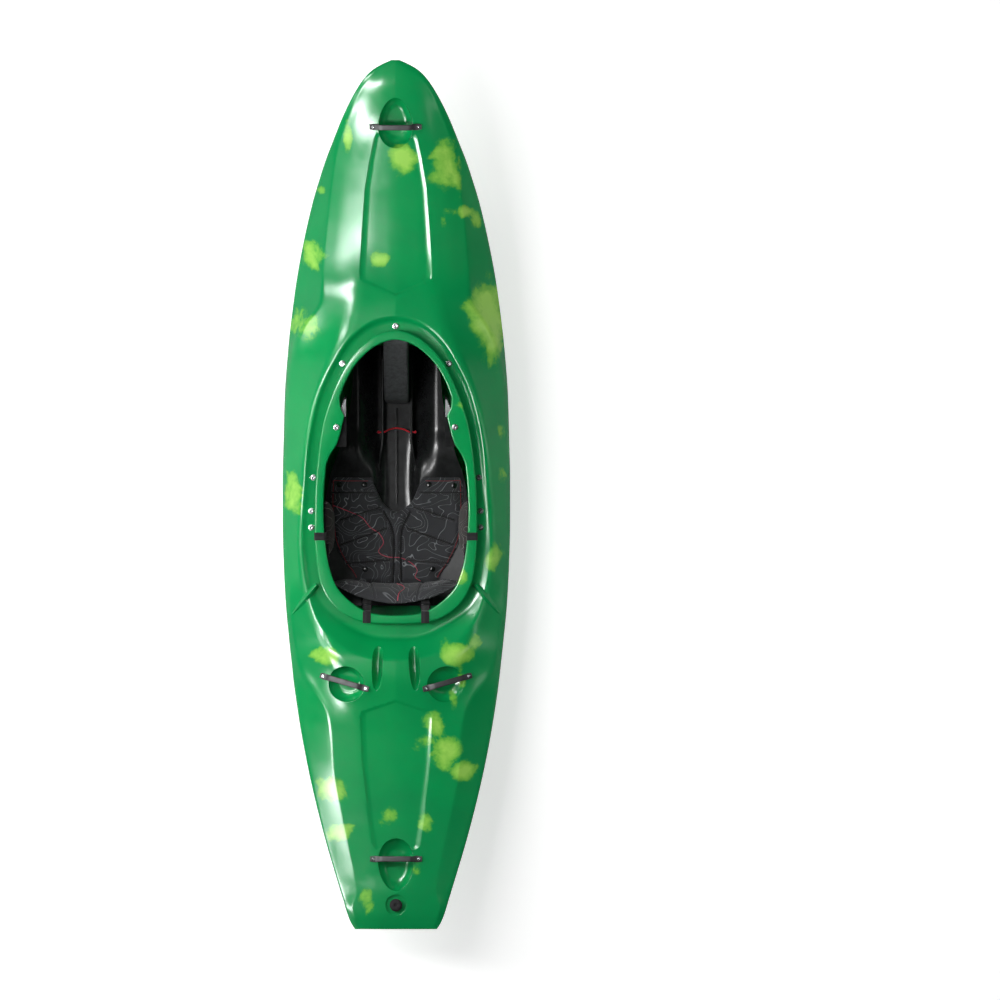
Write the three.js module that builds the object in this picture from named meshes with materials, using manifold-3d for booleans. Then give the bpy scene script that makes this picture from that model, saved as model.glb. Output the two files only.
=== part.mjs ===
import * as THREE from 'three';
import { mergeVertices } from 'three/addons/utils/BufferGeometryUtils.js';
import Module from 'manifold-3d';

const wasm = await Module();
wasm.setup();

// Whitewater kayak. Millimetres, +Y towards the bow, +X to starboard, +Z up, the hull standing on z = 0.

// Hull
const hullLength = 2700;
const hullBeam = 710;
const hullHeight = 447;
const hullWall = 5;
const chineRound = 45;
const sheerRound = 20;
const creaseRound = 16;
const shoulderRound = 26;
const fitGap = 0.3;
const overrun = 20;

// Cockpit rim
const lipThickness = 11;
const troughDrop = 40;
const troughWallWidth = 14;
const rearSlopeWidth = 66;
const riserWall = 6;
const rearSlopeShares = [0.2, 0.36];
const rearFloorShare = -0.3;

const halfLength = hullLength / 2;
const halfBeam = hullBeam / 2;

// Lines of the hull. Each row starts with a station, as a share of half the length (1 bow, -1 stern).
// Heights are shares of the hull height, half-widths shares of half the beam.
const beamShares = [
  [1, 0.04], [0.994, 0.12], [0.985, 0.184], [0.959, 0.282], [0.912, 0.4], [0.866, 0.487], [0.82, 0.558],
  [0.774, 0.628], [0.728, 0.685], [0.682, 0.738], [0.589, 0.82], [0.497, 0.885], [0.405, 0.93], [0.313, 0.961],
  [0.22, 0.983], [0.128, 0.992], [0.036, 1], [-0.057, 1], [-0.149, 0.992], [-0.241, 0.975], [-0.333, 0.946],
  [-0.426, 0.913], [-0.518, 0.865], [-0.61, 0.803], [-0.702, 0.727], [-0.795, 0.637], [-0.887, 0.535],
  [-0.933, 0.482], [-0.979, 0.42], [-0.992, 0.4], [-1, 0.37],
];
const keelShares = [
  [1, 0.957], [0.954, 0.826], [0.908, 0.723], [0.863, 0.626], [0.817, 0.544], [0.771, 0.468], [0.68, 0.336],
  [0.588, 0.224], [0.497, 0.141], [0.405, 0.087], [0.314, 0.045], [0.222, 0.016], [0.13, 0], [-0.13, 0],
  [-0.236, 0.022], [-0.327, 0.058], [-0.419, 0.107], [-0.51, 0.177], [-0.602, 0.253], [-0.693, 0.336],
  [-0.785, 0.418], [-0.876, 0.501], [-0.968, 0.584], [-1, 0.628],
];
const sheerShares = [
  [1, 0.975], [0.966, 0.957], [0.879, 0.819], [0.792, 0.716], [0.678, 0.597], [0.542, 0.521], [0.476, 0.481],
  [0.348, 0.432], [0.268, 0.409], [0.107, 0.398], [-0.03, 0.391], [-0.158, 0.398], [-0.302, 0.414],
  [-0.418, 0.434], [-0.554, 0.468], [-0.689, 0.515], [-0.802, 0.557], [-0.893, 0.597], [-0.982, 0.626], [-1, 0.636],
];
const deckShares = [
  [1, 1], [0.954, 0.991], [0.908, 0.951], [0.863, 0.915], [0.817, 0.895], [0.725, 0.868], [0.634, 0.848],
  [0.542, 0.832], [0.497, 0.839], [0.451, 0.861], [0.405, 0.868], [0.359, 0.866], [0.3, 0.85], [0.204, 0.801],
  [0.13, 0.754], [0.018, 0.676], [-0.062, 0.62], [-0.142, 0.593], [-0.222, 0.586], [-0.249, 0.593], [-0.3, 0.62],
  [-0.327, 0.647], [-0.373, 0.709], [-0.419, 0.716], [-0.465, 0.687], [-0.51, 0.66], [-0.556, 0.64],
  [-0.602, 0.633], [-0.693, 0.626], [-0.785, 0.633], [-0.876, 0.647], [-0.922, 0.665], [-0.968, 0.665], [-1, 0.645],
];
const rimShares = [
  [0.384, 0.922], [0.359, 0.922], [0.3, 0.908], [0.204, 0.861], [0.13, 0.812], [0.018, 0.741], [-0.062, 0.691],
  [-0.142, 0.66], [-0.222, 0.653], [-0.3, 0.651],
];
// Section corners below and above the sheer: station, share of the local half-beam, share of the rise.
const chineShares = [
  [1, 0.6, 0.2], [0.8, 0.6, 0.15], [0.466, 0.62, 0.14], [0.348, 0.65, 0.157], [0.2, 0.67, 0.185],
  [0, 0.68, 0.19], [-0.222, 0.68, 0.19], [-0.373, 0.68, 0.18], [-0.7, 0.7, 0.16], [-1, 0.75, 0.3],
];
const creaseShares = [
  [1, 0.8, 0.6], [0.9, 0.85, 0.42], [0.82, 0.86, 0.42], [0.76, 0.82, 0.52], [0.684, 0.774, 0.616],
  [0.592, 0.741, 0.654], [0.516, 0.72, 0.664], [0.451, 0.704, 0.7], [0.409, 0.815, 0.578], [0.37, 0.9, 0.43],
  [0.307, 0.95, 0.29], [0.25, 0.965, 0.25], [0, 0.967, 0.3], [-0.25, 0.965, 0.3], [-0.36, 0.94, 0.24],
  [-0.4, 0.9, 0.3], [-0.45, 0.78, 0.58], [-0.497, 0.68, 0.8], [-0.54, 0.669, 0.85], [-0.654, 0.7, 0.8],
  [-0.751, 0.68, 0.78], [-0.857, 0.66, 0.8], [-0.919, 0.68, 0.73], [-0.949, 0.85, 0.7], [-1, 0.85, 0.6],
];
const shoulderShares = [
  [1, 0.4, 0.93], [0.829, 0.318, 0.96], [0.776, 0.35, 0.96], [0.707, 0.37, 0.96], [0.61, 0.36, 0.96],
  [0.516, 0.354, 0.96], [0.405, 0.43, 0.97], [0.356, 0.5, 0.99], [0.306, 0.585, 1], [0.25, 0.672, 1],
  [0.19, 0.735, 1], [0.114, 0.78, 1], [0.038, 0.8, 1], [-0.038, 0.825, 1], [-0.103, 0.838, 1], [-0.179, 0.82, 1],
  [-0.239, 0.78, 1], [-0.285, 0.725, 1], [-0.333, 0.65, 1], [-0.38, 0.56, 0.97], [-0.426, 0.48, 0.95],
  [-0.472, 0.417, 0.94], [-0.506, 0.356, 0.95], [-0.61, 0.361, 0.96], [-0.751, 0.343, 0.96], [-0.9, 0.32, 0.96],
  [-1, 0.4, 0.93],
];
const flatShares = [[1, 0.2], [0.5, 0.24], [0.15, 0.37], [-0.2, 0.37], [-0.6, 0.34], [-1, 0.4]];

const outerStationShares = [
  1, 0.994, 0.985, 0.965, 0.935, 0.895, 0.845, 0.79, 0.72, 0.64, 0.56, 0.5, 0.45, 0.41, 0.37, 0.32, 0.26, 0.19,
  0.11, 0, -0.09, -0.17, -0.23, -0.28, -0.325, -0.365, -0.4, -0.44, -0.49, -0.55, -0.63, -0.72, -0.8, -0.87,
  -0.93, -0.97, -0.992, -1,
];
const cavityStationShares = [
  0.965, 0.895, 0.845, 0.79, 0.68, 0.56, 0.5, 0.45, 0.41, 0.37, 0.32, 0.26, 0.11, 0, -0.17, -0.23, -0.28, -0.325, -0.365,
  -0.4, -0.44, -0.49, -0.56, -0.65, -0.8, -0.93, -0.97,
];
// Points on each rounded corner of a section, less one: flat, chine, sheer, crease, shoulder.
const outerSteps = [1, 2, 2, 1, 2];
const cavitySteps = [1, 1, 1, 1, 1];

// Plan outlines round the cockpit, from the centre line at the front to the centre line at the back:
// shares of half the beam across and of half the length along.
const crestShares = [
  [0, 0.412], [0.228, 0.398], [0.421, 0.356], [0.544, 0.306], [0.649, 0.25], [0.719, 0.19], [0.772, 0.114],
  [0.798, 0.038], [0.823, -0.038], [0.831, -0.103], [0.81, -0.179], [0.757, -0.239], [0.693, -0.285],
  [0.566, -0.326], [0.399, -0.358], [0.215, -0.374], [0, -0.378],
];
const lipShares = [
  [0, 0.38], [0.158, 0.37], [0.289, 0.345], [0.407, 0.31], [0.494, 0.268], [0.57, 0.22], [0.623, 0.177],
  [0.658, 0.133], [0.68, 0.089], [0.702, 0.029], [0.71, -0.04], [0.71, -0.103], [0.693, -0.158], [0.658, -0.204],
  [0.579, -0.243], [0.452, -0.273], [0.289, -0.29], [0, -0.295],
];
const riserShares = [
  [0, 0.359], [0.171, 0.345], [0.339, 0.306], [0.439, 0.262], [0.5, 0.218], [0.55, 0.17], [0.588, 0.12],
  [0.612, 0.07], [0.633, 0], [0.635, -0.054], [0.62, -0.11], [0.585, -0.165], [0.52, -0.21], [0.404, -0.243],
  [0.25, -0.268], [0, -0.276],
];
const hookedShares = [
  [0, 0.359], [0.171, 0.345], [0.339, 0.306], [0.439, 0.262], [0.494, 0.225], [0.5, 0.202], [0.468, 0.185],
  [0.461, 0.17], [0.483, 0.142], [0.518, 0.117], [0.575, 0.097], [0.612, 0.073], [0.633, 0], [0.635, -0.054],
  [0.62, -0.11], [0.585, -0.165], [0.52, -0.21], [0.404, -0.243], [0.25, -0.268], [0, -0.276],
];

// Fittings of the shell. Wells and scoops are ellipsoids sunk in the deck; a station is a share of half the length.
const panelDepth = 2.5;
const wellDepth = 34;
const bowWell = { across: 52, length: 78, station: 0.86 };
const sternWell = { across: 54, length: 81, station: -0.851 };
const sideWell = { across: 59, length: 56, offset: 156, station: -0.435 };
const scoop = { across: 17, length: 84, depth: 30, offset: 56, station: -0.372 };
const fin = { length: 66, width: 11, height: 13, offset: 287, station: -0.24 };
const wellSegments = 10;
const wellRings = 6;
const roundSegments = 8;
const screwSegments = 6;
const bolt = {
  headRadius: 9.5, headHeight: 3.5, shankRadius: 3, shankLength: 16, seatRadius: 11, seatDepth: 0.6, seatClear: 7,
  slotTravel: 12,
};
const screw = { headRadius: 5, headHeight: 2.6, shankRadius: 2.2, shankLength: 22 };
const handle = { length: 162, width: 20, thickness: 7, rise: 9, footDrop: 12, screwInset: 10, bevel: 2 };
const bowHandleShare = 0.848;
const sternHandleShare = -0.838;
const sideHandle = { offset: 160, station: -0.43, turn: 0.276 };
const drain = {
  station: -0.944, seatRadius: 30, seatDepth: 6, boreRadius: 17, collarBore: 12.5, collarLength: 15,
  flangeRadius: 19.5, flangeHeight: 2, gasketHeight: 1.8, capRadius: 19.5, capHeight: 10, neckLength: 13,
};

// Bolt places: shares of half the beam and half the length; along the rail, of half the length and the height.
const pillarBoltShares = [0, 0.391];
const frontBoltShares = [0.465, 0.3045];
const sideBoltShares = [0.725, 0.0427];
const hangerBoltShares = [[0.743, -0.0346], [0.743, -0.0727]];
const thighBoltShares = [0.518, 0.158];
const railBoltShares = [[0.458, 0.405], [0.424, 0.391]];

// Outlines of the panels pressed into the bow and stern decks.
const bowPanelShares = [
  [0, 0.832], [0.14, 0.831], [0.175, 0.826], [0.219, 0.776], [0.263, 0.707], [0.289, 0.61], [0.311, 0.516],
  [0.3, 0.495], [0, 0.463],
];
const sternPanelShares = [
  [0, -0.474], [0.29, -0.502], [0.307, -0.512], [0.294, -0.61], [0.232, -0.751], [0.189, -0.81], [0, -0.815],
];

// Seat moulding: a tray between two ribs in front, lobes under the thighs, a dished bowl, and a wing at each hip.
const seatWidthShare = 0.6479;
const seatHalfWidth = seatWidthShare * halfBeam;
const seatWall = 5;
const trayRise = 24;
const lobeRise = 38;
const bowlRise = 34;
const seatSideRise = 26;
const seatRearRise = 16;
const flankRise = 58;
const rib = { offset: 45, thickness: 8, rise: 66 };
const trayRidge = { thickness: 4, rise: 33 };
const wing = { innerShare: 0.63944, thickness: 5, flangeReach: 56, flangeThickness: 12, earHeight: 30 };
const wingInner = wing.innerShare * halfBeam;
const seatPlanShares = [
  [0.35, 0.56], [0.3, 0.59], [0.22, 0.63], [0.16, 0.7], [0.1, 0.8], [0.05, 0.91], [0, 0.965], [-0.04, 1], [-0.15, 1],
  [-0.2, 0.87], [-0.255, 0.66],
];
const seatColumnShares = [-1, -0.985, -0.8, -0.62, -0.46, -0.32, -0.18, 0.18, 0.32, 0.46, 0.62, 0.8, 0.985, 1];
const seatRowShares = [
  0.35, 0.347, 0.24, 0.17, 0.13, 0.09, 0.055, 0.02, -0.02, -0.06, -0.11, -0.17, -0.22, -0.252, -0.255,
];
const ribStationShares = [0.345, 0.27, 0.19, 0.06];
const ridgeStationShares = [0.205, 0.1, -0.02];
const wingStationShares = { front: -0.03, back: -0.148, flangeFront: -0.02, flangeBack: -0.092 };

// Seat pad
const padWidthShare = 0.5887;
const padHalfWidth = padWidthShare * halfBeam;
const padEdge = 6;
const padCrown = 13;
const padPlanShares = [
  [0.045, 0.9], [0.032, 0.985], [-0.03, 1], [-0.1, 0.96], [-0.157, 0.79], [-0.18, 0.68], [-0.21, 0.6],
];
const padColumnShares = [-1, -0.93, -0.75, -0.5, -0.25, 0, 0.25, 0.5, 0.75, 0.93, 1];
const padRowShares = [0.045, 0.03, 0, -0.04, -0.08, -0.12, -0.157, -0.195, -0.21];
const padNotchShares = [
  [0, 0.07], [0.26, 0.07], [0.228, 0.045], [0.175, 0.012], [0.12, -0.015], [0.07, -0.028], [0, -0.034],
];
const channelWidth = 9;
// Sewn channels: across as a share of the pad's half-width, along as a share of half the hull length.
const channelShares = [
  [[0.97, 0.008], [0.33, 0.008]], [[0.85, -0.0565], [0.246, -0.0265]], [[0.836, -0.114], [0.149, -0.075]],
  [[0.746, -0.157], [0.1, -0.149]], [[0.194, -0.036], [0.06, -0.089], [0.06, -0.2]],
];

// Hip pads and backband
const hipPad = { edge: 12, crown: 26, footShare: 0.19016, topShare: 0.3915, frontShare: -0.0126, backShare: -0.139 };
const hipFoot = hipPad.footShare * hullHeight;
const hipTop = hipPad.topShare * hullHeight;
const band = {
  widthShare: 0.56056, footShare: 0.21253, heightShare: 0.3132, edge: 10, crown: 15, endStationShare: -0.181,
  bow: 22, endLean: 6, lean: 41,
  plate: 3, plateGap: 0.8, bossRadius: 8, pinRadius: 4.5, pinClear: 0.9, bossReach: 14, bossShare: 0.93, pivotShare: 0.2,
};
const bandHalfWidth = band.widthShare * halfBeam;
const bandFoot = band.footShare * hullHeight;
const bandHeight = band.heightShare * hullHeight;
const bandColumnShares = [-1, -0.9, -0.7, -0.45, -0.2, 0, 0.2, 0.45, 0.7, 0.9, 1];
const bandRowShares = [0, 0.1, 0.3, 0.55, 0.8, 0.93, 1];
const plateRowShares = [0.1, 0.3, 0.55, 0.8];

// Webbing, ratchets and braces
const webbing = {
  thickness: 2, width: 25, returnLength: 15, sideStationShare: -0.0934, rearOffsetShare: 0.25634, rearRise: 38,
};
const buckle = { width: 30, length: 22, thickness: 9 };
const ratchet = {
  frontShare: -0.111, length: 48, height: 24, plate: 3.5, depth: 15.5, cheek: 3, axleRadius: 2.5, bossRadius: 5.5,
  riseShare: 0.42506,
};
const ratchetRise = ratchet.riseShare * hullHeight;
const ladder = { thickness: 1.9, width: 16 };
const brace = { stationShare: 0.16, plate: 4, hangGap: 0.5, boss: 4, hook: 32, padThickness: 13, slotGap: 3.6 };
// Thigh brace outline: across as a share of half the beam, along from the brace's station.
const braceShares = [
  [0.431, -0.049], [0.563, -0.049], [0.552, -0.022], [0.545, 0], [0.534, 0.012], [0.484, 0.044], [0.451, 0.067],
  [0.431, 0.067],
];

// Foot rails and plates
const rail = {
  offsetShare: 0.63662, thickness: 8, height: 30, riseShare: 0.405, frontShare: 0.548, backShare: 0.326,
  blockHeight: 18, blockFrontShare: 0.478, blockBackShare: 0.404,
};
const railOffset = rail.offsetShare * halfBeam;
const railRise = rail.riseShare * hullHeight;
const foot = {
  stationShare: 0.474, travel: 60, plate: 5, inner: 52, railInset: 12, wallClear: 12, clampLength: 30, clampWall: 6,
  clampGap: 0.4, pad: 30,
};
const footOuter = railOffset - foot.railInset;

// Foam pillars and the cord over the tray
const bowPillar = { halfWidth: 39, backShare: 0.2155, frontShare: 0.74 };
const bowPillarTopShares = [[0.2155, 0.22], [0.224, 0.3], [0.3, 0.58], [0.359, 0.85], [0.359, 1], [0.74, 1]];
const sternPillar = { halfWidth: 32, frontShare: -0.32, backShare: -0.68 };
const tieCord = { radius: 2.5, reach: 58, knotRadius: 4.6, bow: 12, stationShare: 0.149, drop: 9, holeGap: 0.9 };

// Monotone cubic reading of a table whose stations run from bow to stern.
function along(rows, station, column = 1) {
  const last = rows.length - 1;
  if (station >= rows[0][0]) return rows[0][column];
  if (station <= rows[last][0]) return rows[last][column];
  let i = 0;
  while (rows[i + 1][0] > station) i += 1;
  const slope = (k) => (rows[k + 1][column] - rows[k][column]) / (rows[k + 1][0] - rows[k][0]);
  const tangent = (k) => {
    if (k === 0) return slope(0);
    if (k === last) return slope(last - 1);
    const before = slope(k - 1);
    const after = slope(k);
    return before * after <= 0 ? 0 : (2 * before * after) / (before + after);
  };
  const span = rows[i + 1][0] - rows[i][0];
  const t = (station - rows[i][0]) / span;
  const t2 = t * t;
  const t3 = t2 * t;
  return (
    (2 * t3 - 3 * t2 + 1) * rows[i][column] +
    (t3 - 2 * t2 + t) * span * tangent(i) +
    (3 * t2 - 2 * t3) * rows[i + 1][column] +
    (t3 - t2) * span * tangent(i + 1)
  );
}

const rimHeight = (y) => hullHeight * along(rimShares, y / halfLength);
const deckHeight = (y) => hullHeight * along(deckShares, y / halfLength);
const troughHeight = (y) => rimHeight(y) - troughDrop;

// Corners of the half section at a station, from the keel to the middle of the deck: x, z, round.
function sectionCorners(station) {
  const beam = halfBeam * along(beamShares, station);
  const keel = hullHeight * along(keelShares, station);
  const sheer = hullHeight * along(sheerShares, station);
  const deck = hullHeight * along(deckShares, station);
  return [
    [0, keel, 0],
    [beam * along(flatShares, station), keel, chineRound],
    [beam * along(chineShares, station), keel + (sheer - keel) * along(chineShares, station, 2), chineRound],
    [beam, sheer, sheerRound],
    [beam * along(creaseShares, station), sheer + (deck - sheer) * along(creaseShares, station, 2), creaseRound],
    [beam * along(shoulderShares, station), sheer + (deck - sheer) * along(shoulderShares, station, 2), shoulderRound],
    [0, deck, 0],
  ];
}

// The same corners moved inwards by a wall, each edge staying parallel to itself.
function insetCorners(corners, inset) {
  if (inset === 0) return corners;
  const edges = corners.slice(1).map((next, i) => {
    const [x, z] = corners[i];
    const length = Math.hypot(next[0] - x, next[1] - z);
    const dx = (next[0] - x) / length;
    const dz = (next[1] - z) / length;
    return { x: x - dz * inset, z: z + dx * inset, dx, dz };
  });
  const meet = (a, b) => {
    const cross = a.dx * b.dz - a.dz * b.dx;
    const t = ((b.x - a.x) * b.dz - (b.z - a.z) * b.dx) / cross;
    return Math.abs(cross) < 0.02 ? [b.x, b.z] : [a.x + a.dx * t, a.z + a.dz * t];
  };
  return corners.map(([, , round], i) => {
    if (i === 0) return [0, edges[0].z - (edges[0].x / edges[0].dx) * edges[0].dz, 0];
    if (i === corners.length - 1) {
      const edge = edges[i - 1];
      return [0, edge.z - (edge.x / edge.dx) * edge.dz, 0];
    }
    const [x, z] = meet(edges[i - 1], edges[i]);
    return [x, z, Math.max(round - inset, inset)];
  });
}

// Half section with each corner rounded by a short curve.
function roundedHalf(corners, steps) {
  const points = [[corners[0][0], corners[0][1]]];
  for (let i = 1; i < corners.length - 1; i += 1) {
    const [x, z, round] = corners[i];
    const reach = (other) => {
      const length = Math.hypot(other[0] - x, other[1] - z);
      const t = Math.min(round, 0.46 * length) / length;
      return [x + (other[0] - x) * t, z + (other[1] - z) * t];
    };
    const from = reach(corners[i - 1]);
    const to = reach(corners[i + 1]);
    for (let k = 0; k <= steps[i - 1]; k += 1) {
      const t = k / steps[i - 1];
      const a = (1 - t) * (1 - t);
      const b = 2 * t * (1 - t);
      const c = t * t;
      points.push([a * from[0] + b * x + c * to[0], a * from[1] + b * z + c * to[1]]);
    }
  }
  const end = corners[corners.length - 1];
  points.push([end[0], end[1]]);
  return points;
}

// Closed solid through rings that mirror about x = 0: point j pairs with point n - j.
function ringSolid(rings) {
  const count = rings[0].length;
  const positions = rings.flat(2);
  const triangles = [];
  for (let r = 0; r < rings.length - 1; r += 1) {
    for (let j = 0; j < count; j += 1) {
      const a = r * count + j;
      const b = r * count + ((j + 1) % count);
      if (j < count / 2) triangles.push([a, b, b + count], [a, b + count, a + count]);
      else triangles.push([a, b, a + count], [b, b + count, a + count]);
    }
  }
  const cap = (first, flip) => {
    for (let j = 0; j < count / 2; j += 1) {
      const a = first + j;
      const b = first + j + 1;
      const c = first + ((count - j) % count);
      const d = first + ((count - j - 1) % count);
      const faces = [[a, d, b], [a, c, d]].filter((f) => new Set(f).size === 3);
      faces.forEach((f) => triangles.push(flip ? [f[0], f[2], f[1]] : f));
    }
  };
  cap(0, false);
  cap((rings.length - 1) * count, true);
  return closedGeometry(positions, triangles);
}

// Geometry from points and triangles, turned so that its faces look out.
function closedGeometry(positions, triangles) {
  const at = (i) => new THREE.Vector3(positions[3 * i], positions[3 * i + 1], positions[3 * i + 2]);
  const volume = triangles.reduce((sum, [a, b, c]) => sum + at(a).dot(at(b).cross(at(c))), 0);
  const faces = volume < 0 ? triangles.map(([a, b, c]) => [a, c, b]) : triangles;
  const geometry = new THREE.BufferGeometry();
  geometry.setAttribute('position', new THREE.Float32BufferAttribute(positions, 3));
  geometry.setIndex(faces.flat());
  return geometry;
}

function solid(geometry) {
  const bare = geometry.clone();
  Object.keys(bare.attributes).filter((name) => name !== 'position').forEach((name) => bare.deleteAttribute(name));
  const merged = mergeVertices(bare, 1e-4);
  const index = merged.index.array;
  const triVerts = [];
  for (let i = 0; i < index.length; i += 3) {
    const [a, b, c] = [index[i], index[i + 1], index[i + 2]];
    if (a !== b && b !== c && a !== c) triVerts.push(a, b, c);
  }
  const vertProperties = new Float32Array(merged.attributes.position.array);
  return new wasm.Manifold(new wasm.Mesh({ numProp: 3, vertProperties, triVerts: new Uint32Array(triVerts) }));
}

function geometryOf(body) {
  const mesh = body.getMesh();
  const geometry = new THREE.BufferGeometry();
  geometry.setAttribute('position', new THREE.BufferAttribute(new Float32Array(mesh.vertProperties), 3));
  geometry.setIndex(new THREE.BufferAttribute(new Uint32Array(mesh.triVerts), 1));
  geometry.computeVertexNormals();
  return geometry;
}

const placed = (geometry, matrix) => solid(geometry.clone().applyMatrix4(matrix));
const join = (bodies) => bodies.reduce((whole, body) => whole.add(body));

// Loft of the hull at an inset from its outer skin.
function hullLoft(stations, inset, steps) {
  const rings = stations.map((station) => {
    const half = roundedHalf(insetCorners(sectionCorners(station), inset), steps);
    const y = station * halfLength;
    const right = half.map(([x, z]) => [x, y, z]);
    const left = half.slice(1, -1).reverse().map(([x, z]) => [-x, y, z]);
    return [...right, ...left];
  });
  return solid(ringSolid(rings));
}

// Half plan outline in millimetres, smoothed through its mirrored whole.
function halfOutline(shares, steps) {
  const half = shares.map(([x, y]) => new THREE.Vector3(x * halfBeam, y * halfLength, 0));
  const mirrored = half.slice(1, -1).reverse().map((p) => new THREE.Vector3(-p.x, p.y, 0));
  const curve = new THREE.CatmullRomCurve3([...half, ...mirrored], true, 'centripetal');
  const segments = half.length + mirrored.length;
  const count = (half.length - 1) * steps;
  const points = [];
  for (let i = 0; i <= count; i += 1) {
    const p = curve.getPoint(i / (segments * steps));
    points.push([i === 0 || i === count ? 0 : Math.max(p.x, 0), p.y]);
  }
  return points;
}

// The outline moved outwards; the distance may change along it.
function grownOutline(points, distance) {
  return points.map(([x, y], i) => {
    const before = i === 0 ? [-points[1][0], points[1][1]] : points[i - 1];
    const after = i === points.length - 1 ? [-points[i - 1][0], points[i - 1][1]] : points[i + 1];
    const dx = after[0] - before[0];
    const dy = after[1] - before[1];
    const length = Math.hypot(dx, dy);
    const d = typeof distance === 'function' ? distance(y) : distance;
    const edge = i === 0 || i === points.length - 1;
    return [edge ? 0 : Math.max(x - (dy / length) * d, 0), y + (dx / length) * d];
  });
}

function planRing(half, height) {
  const right = half.map(([x, y]) => [x, y, height(y)]);
  const left = half.slice(1, -1).reverse().map(([x, y]) => [-x, y, height(y)]);
  return [...right, ...left];
}

const slab = (half, bottom, top) => solid(ringSolid([planRing(half, bottom), planRing(half, top)]));

// Groove round the cockpit; behind it the wall leans back into a long slope.
const slopeWidth = (y) => {
  const t = THREE.MathUtils.smoothstep(-y / halfLength, ...rearSlopeShares);
  return -(troughWallWidth + (rearSlopeWidth - troughWallWidth) * t);
};

function troughSolid(grow) {
  const crest = halfOutline(crestShares, grow > 0 ? 1 : 2);
  const top = grownOutline(crest, grow);
  const foot = grownOutline(grownOutline(crest, slopeWidth), grow);
  return solid(ringSolid([
    planRing(foot, (y) => troughHeight(Math.max(y, rearFloorShare * halfLength)) - grow),
    planRing(top, (y) => deckHeight(y) - grow),
    planRing(top, (y) => deckHeight(y) + overrun),
  ]));
}

// Height of the upper skin at a plan point.
function skinHeight(x, y) {
  const half = roundedHalf(sectionCorners(y / halfLength), outerSteps);
  for (let i = half.length - 1; i > 0; i -= 1) {
    const [x0, z0] = half[i];
    const [x1, z1] = half[i - 1];
    if (Math.abs(x) <= x1) return z0 + ((z1 - z0) * (Math.abs(x) - x0)) / (x1 - x0);
  }
  return half[half.length - 1][1];
}

// Half-width of the skin at a height below the sheer.
function skinWidth(y, z) {
  const half = roundedHalf(sectionCorners(y / halfLength), outerSteps);
  for (let i = 0; i < half.length - 1; i += 1) {
    const [x0, z0] = half[i];
    const [x1, z1] = half[i + 1];
    if (z <= z1 && z1 > z0) return x0 + ((x1 - x0) * (z - z0)) / (z1 - z0);
  }
  return half[half.length - 1][0];
}

const point = (x, y, z) => new THREE.Vector3(x, y, z);

function frameOn(origin, acrossTo, aheadTo) {
  const x = acrossTo.clone().sub(origin).normalize();
  const z = point(0, 0, 0).crossVectors(x, aheadTo.clone().sub(origin)).normalize();
  const y = point(0, 0, 0).crossVectors(z, x);
  return new THREE.Matrix4().makeBasis(x, y, z).setPosition(origin);
}

const shifted = (frame, x, y, z) => frame.clone().multiply(new THREE.Matrix4().makeTranslation(x, y, z));

// Frame on the deck: x to starboard, z along the deck's normal.
function deckFrame(x, y, reach) {
  const origin = point(x, y, skinHeight(x, y));
  const side = x < 0 ? -1 : 1;
  const outward = point(x + side * reach, y, skinHeight(x + side * reach, y));
  const across = origin.clone().add(outward.sub(origin).multiplyScalar(side));
  const ahead = point(x, y + reach, skinHeight(x, y + reach));
  return frameOn(origin, across, ahead);
}

// Frame on a surface that is level across the boat, such as the rim or the groove beside it.
function levelFrame(x, y, height, reach) {
  const rise = (height(y + reach) - height(y - reach)) / 2;
  const origin = point(x, y, (height(y + reach) + height(y - reach)) / 2);
  return frameOn(origin, point(x + reach, y, origin.z), point(x, y + reach, origin.z + rise));
}

// Frame on the side of the hull below the sheer, its z pointing out of the boat.
function sideFrame(side, y, z, reach) {
  const origin = point(side * skinWidth(y, z), y, z);
  const ahead = point(side * skinWidth(y + reach, z), y + reach, z);
  const up = point(side * skinWidth(y, z + reach), y, z + reach);
  return side > 0 ? frameOn(origin, ahead, up) : frameOn(origin, up, ahead);
}

function bowl(radiusX, radiusY, depth, frame) {
  const geometry = new THREE.SphereGeometry(1, wellSegments, wellRings);
  geometry.rotateX(Math.PI / 2);
  geometry.scale(radiusX, radiusY, depth);
  return placed(geometry, frame);
}

function cylinder(radius, bottom, top, frame, segments = roundSegments) {
  const geometry = new THREE.CylinderGeometry(radius, radius, top - bottom, segments);
  geometry.rotateX(Math.PI / 2);
  geometry.translate(0, 0, (top + bottom) / 2);
  return placed(geometry, frame);
}

function box(x0, x1, y0, y1, z0, z1, frame = new THREE.Matrix4()) {
  const geometry = new THREE.BoxGeometry(Math.abs(x1 - x0), Math.abs(y1 - y0), Math.abs(z1 - z0));
  geometry.translate((x0 + x1) / 2, (y0 + y1) / 2, (z0 + z1) / 2);
  return placed(geometry, frame);
}

// Hollows in the deck: wells under the handles and two scoops behind the cockpit.
const sideWellFrames = [-1, 1].map((side) => (
  deckFrame(side * sideWell.offset, sideWell.station * halfLength, sideWell.across)
));
function hollows(grow) {
  const size = (hollow) => [hollow.across + grow, hollow.length + grow, (hollow.depth ?? wellDepth) + grow];
  return join([
    ...[bowWell, sternWell].map((well) => (
      bowl(...size(well), deckFrame(0, well.station * halfLength, well.across))
    )),
    ...sideWellFrames.map((frame) => bowl(...size(sideWell), frame)),
    ...[-1, 1].map((side) => (
      bowl(...size(scoop), deckFrame(side * scoop.offset, scoop.station * halfLength, scoop.across))
    )),
  ]);
}

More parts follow.
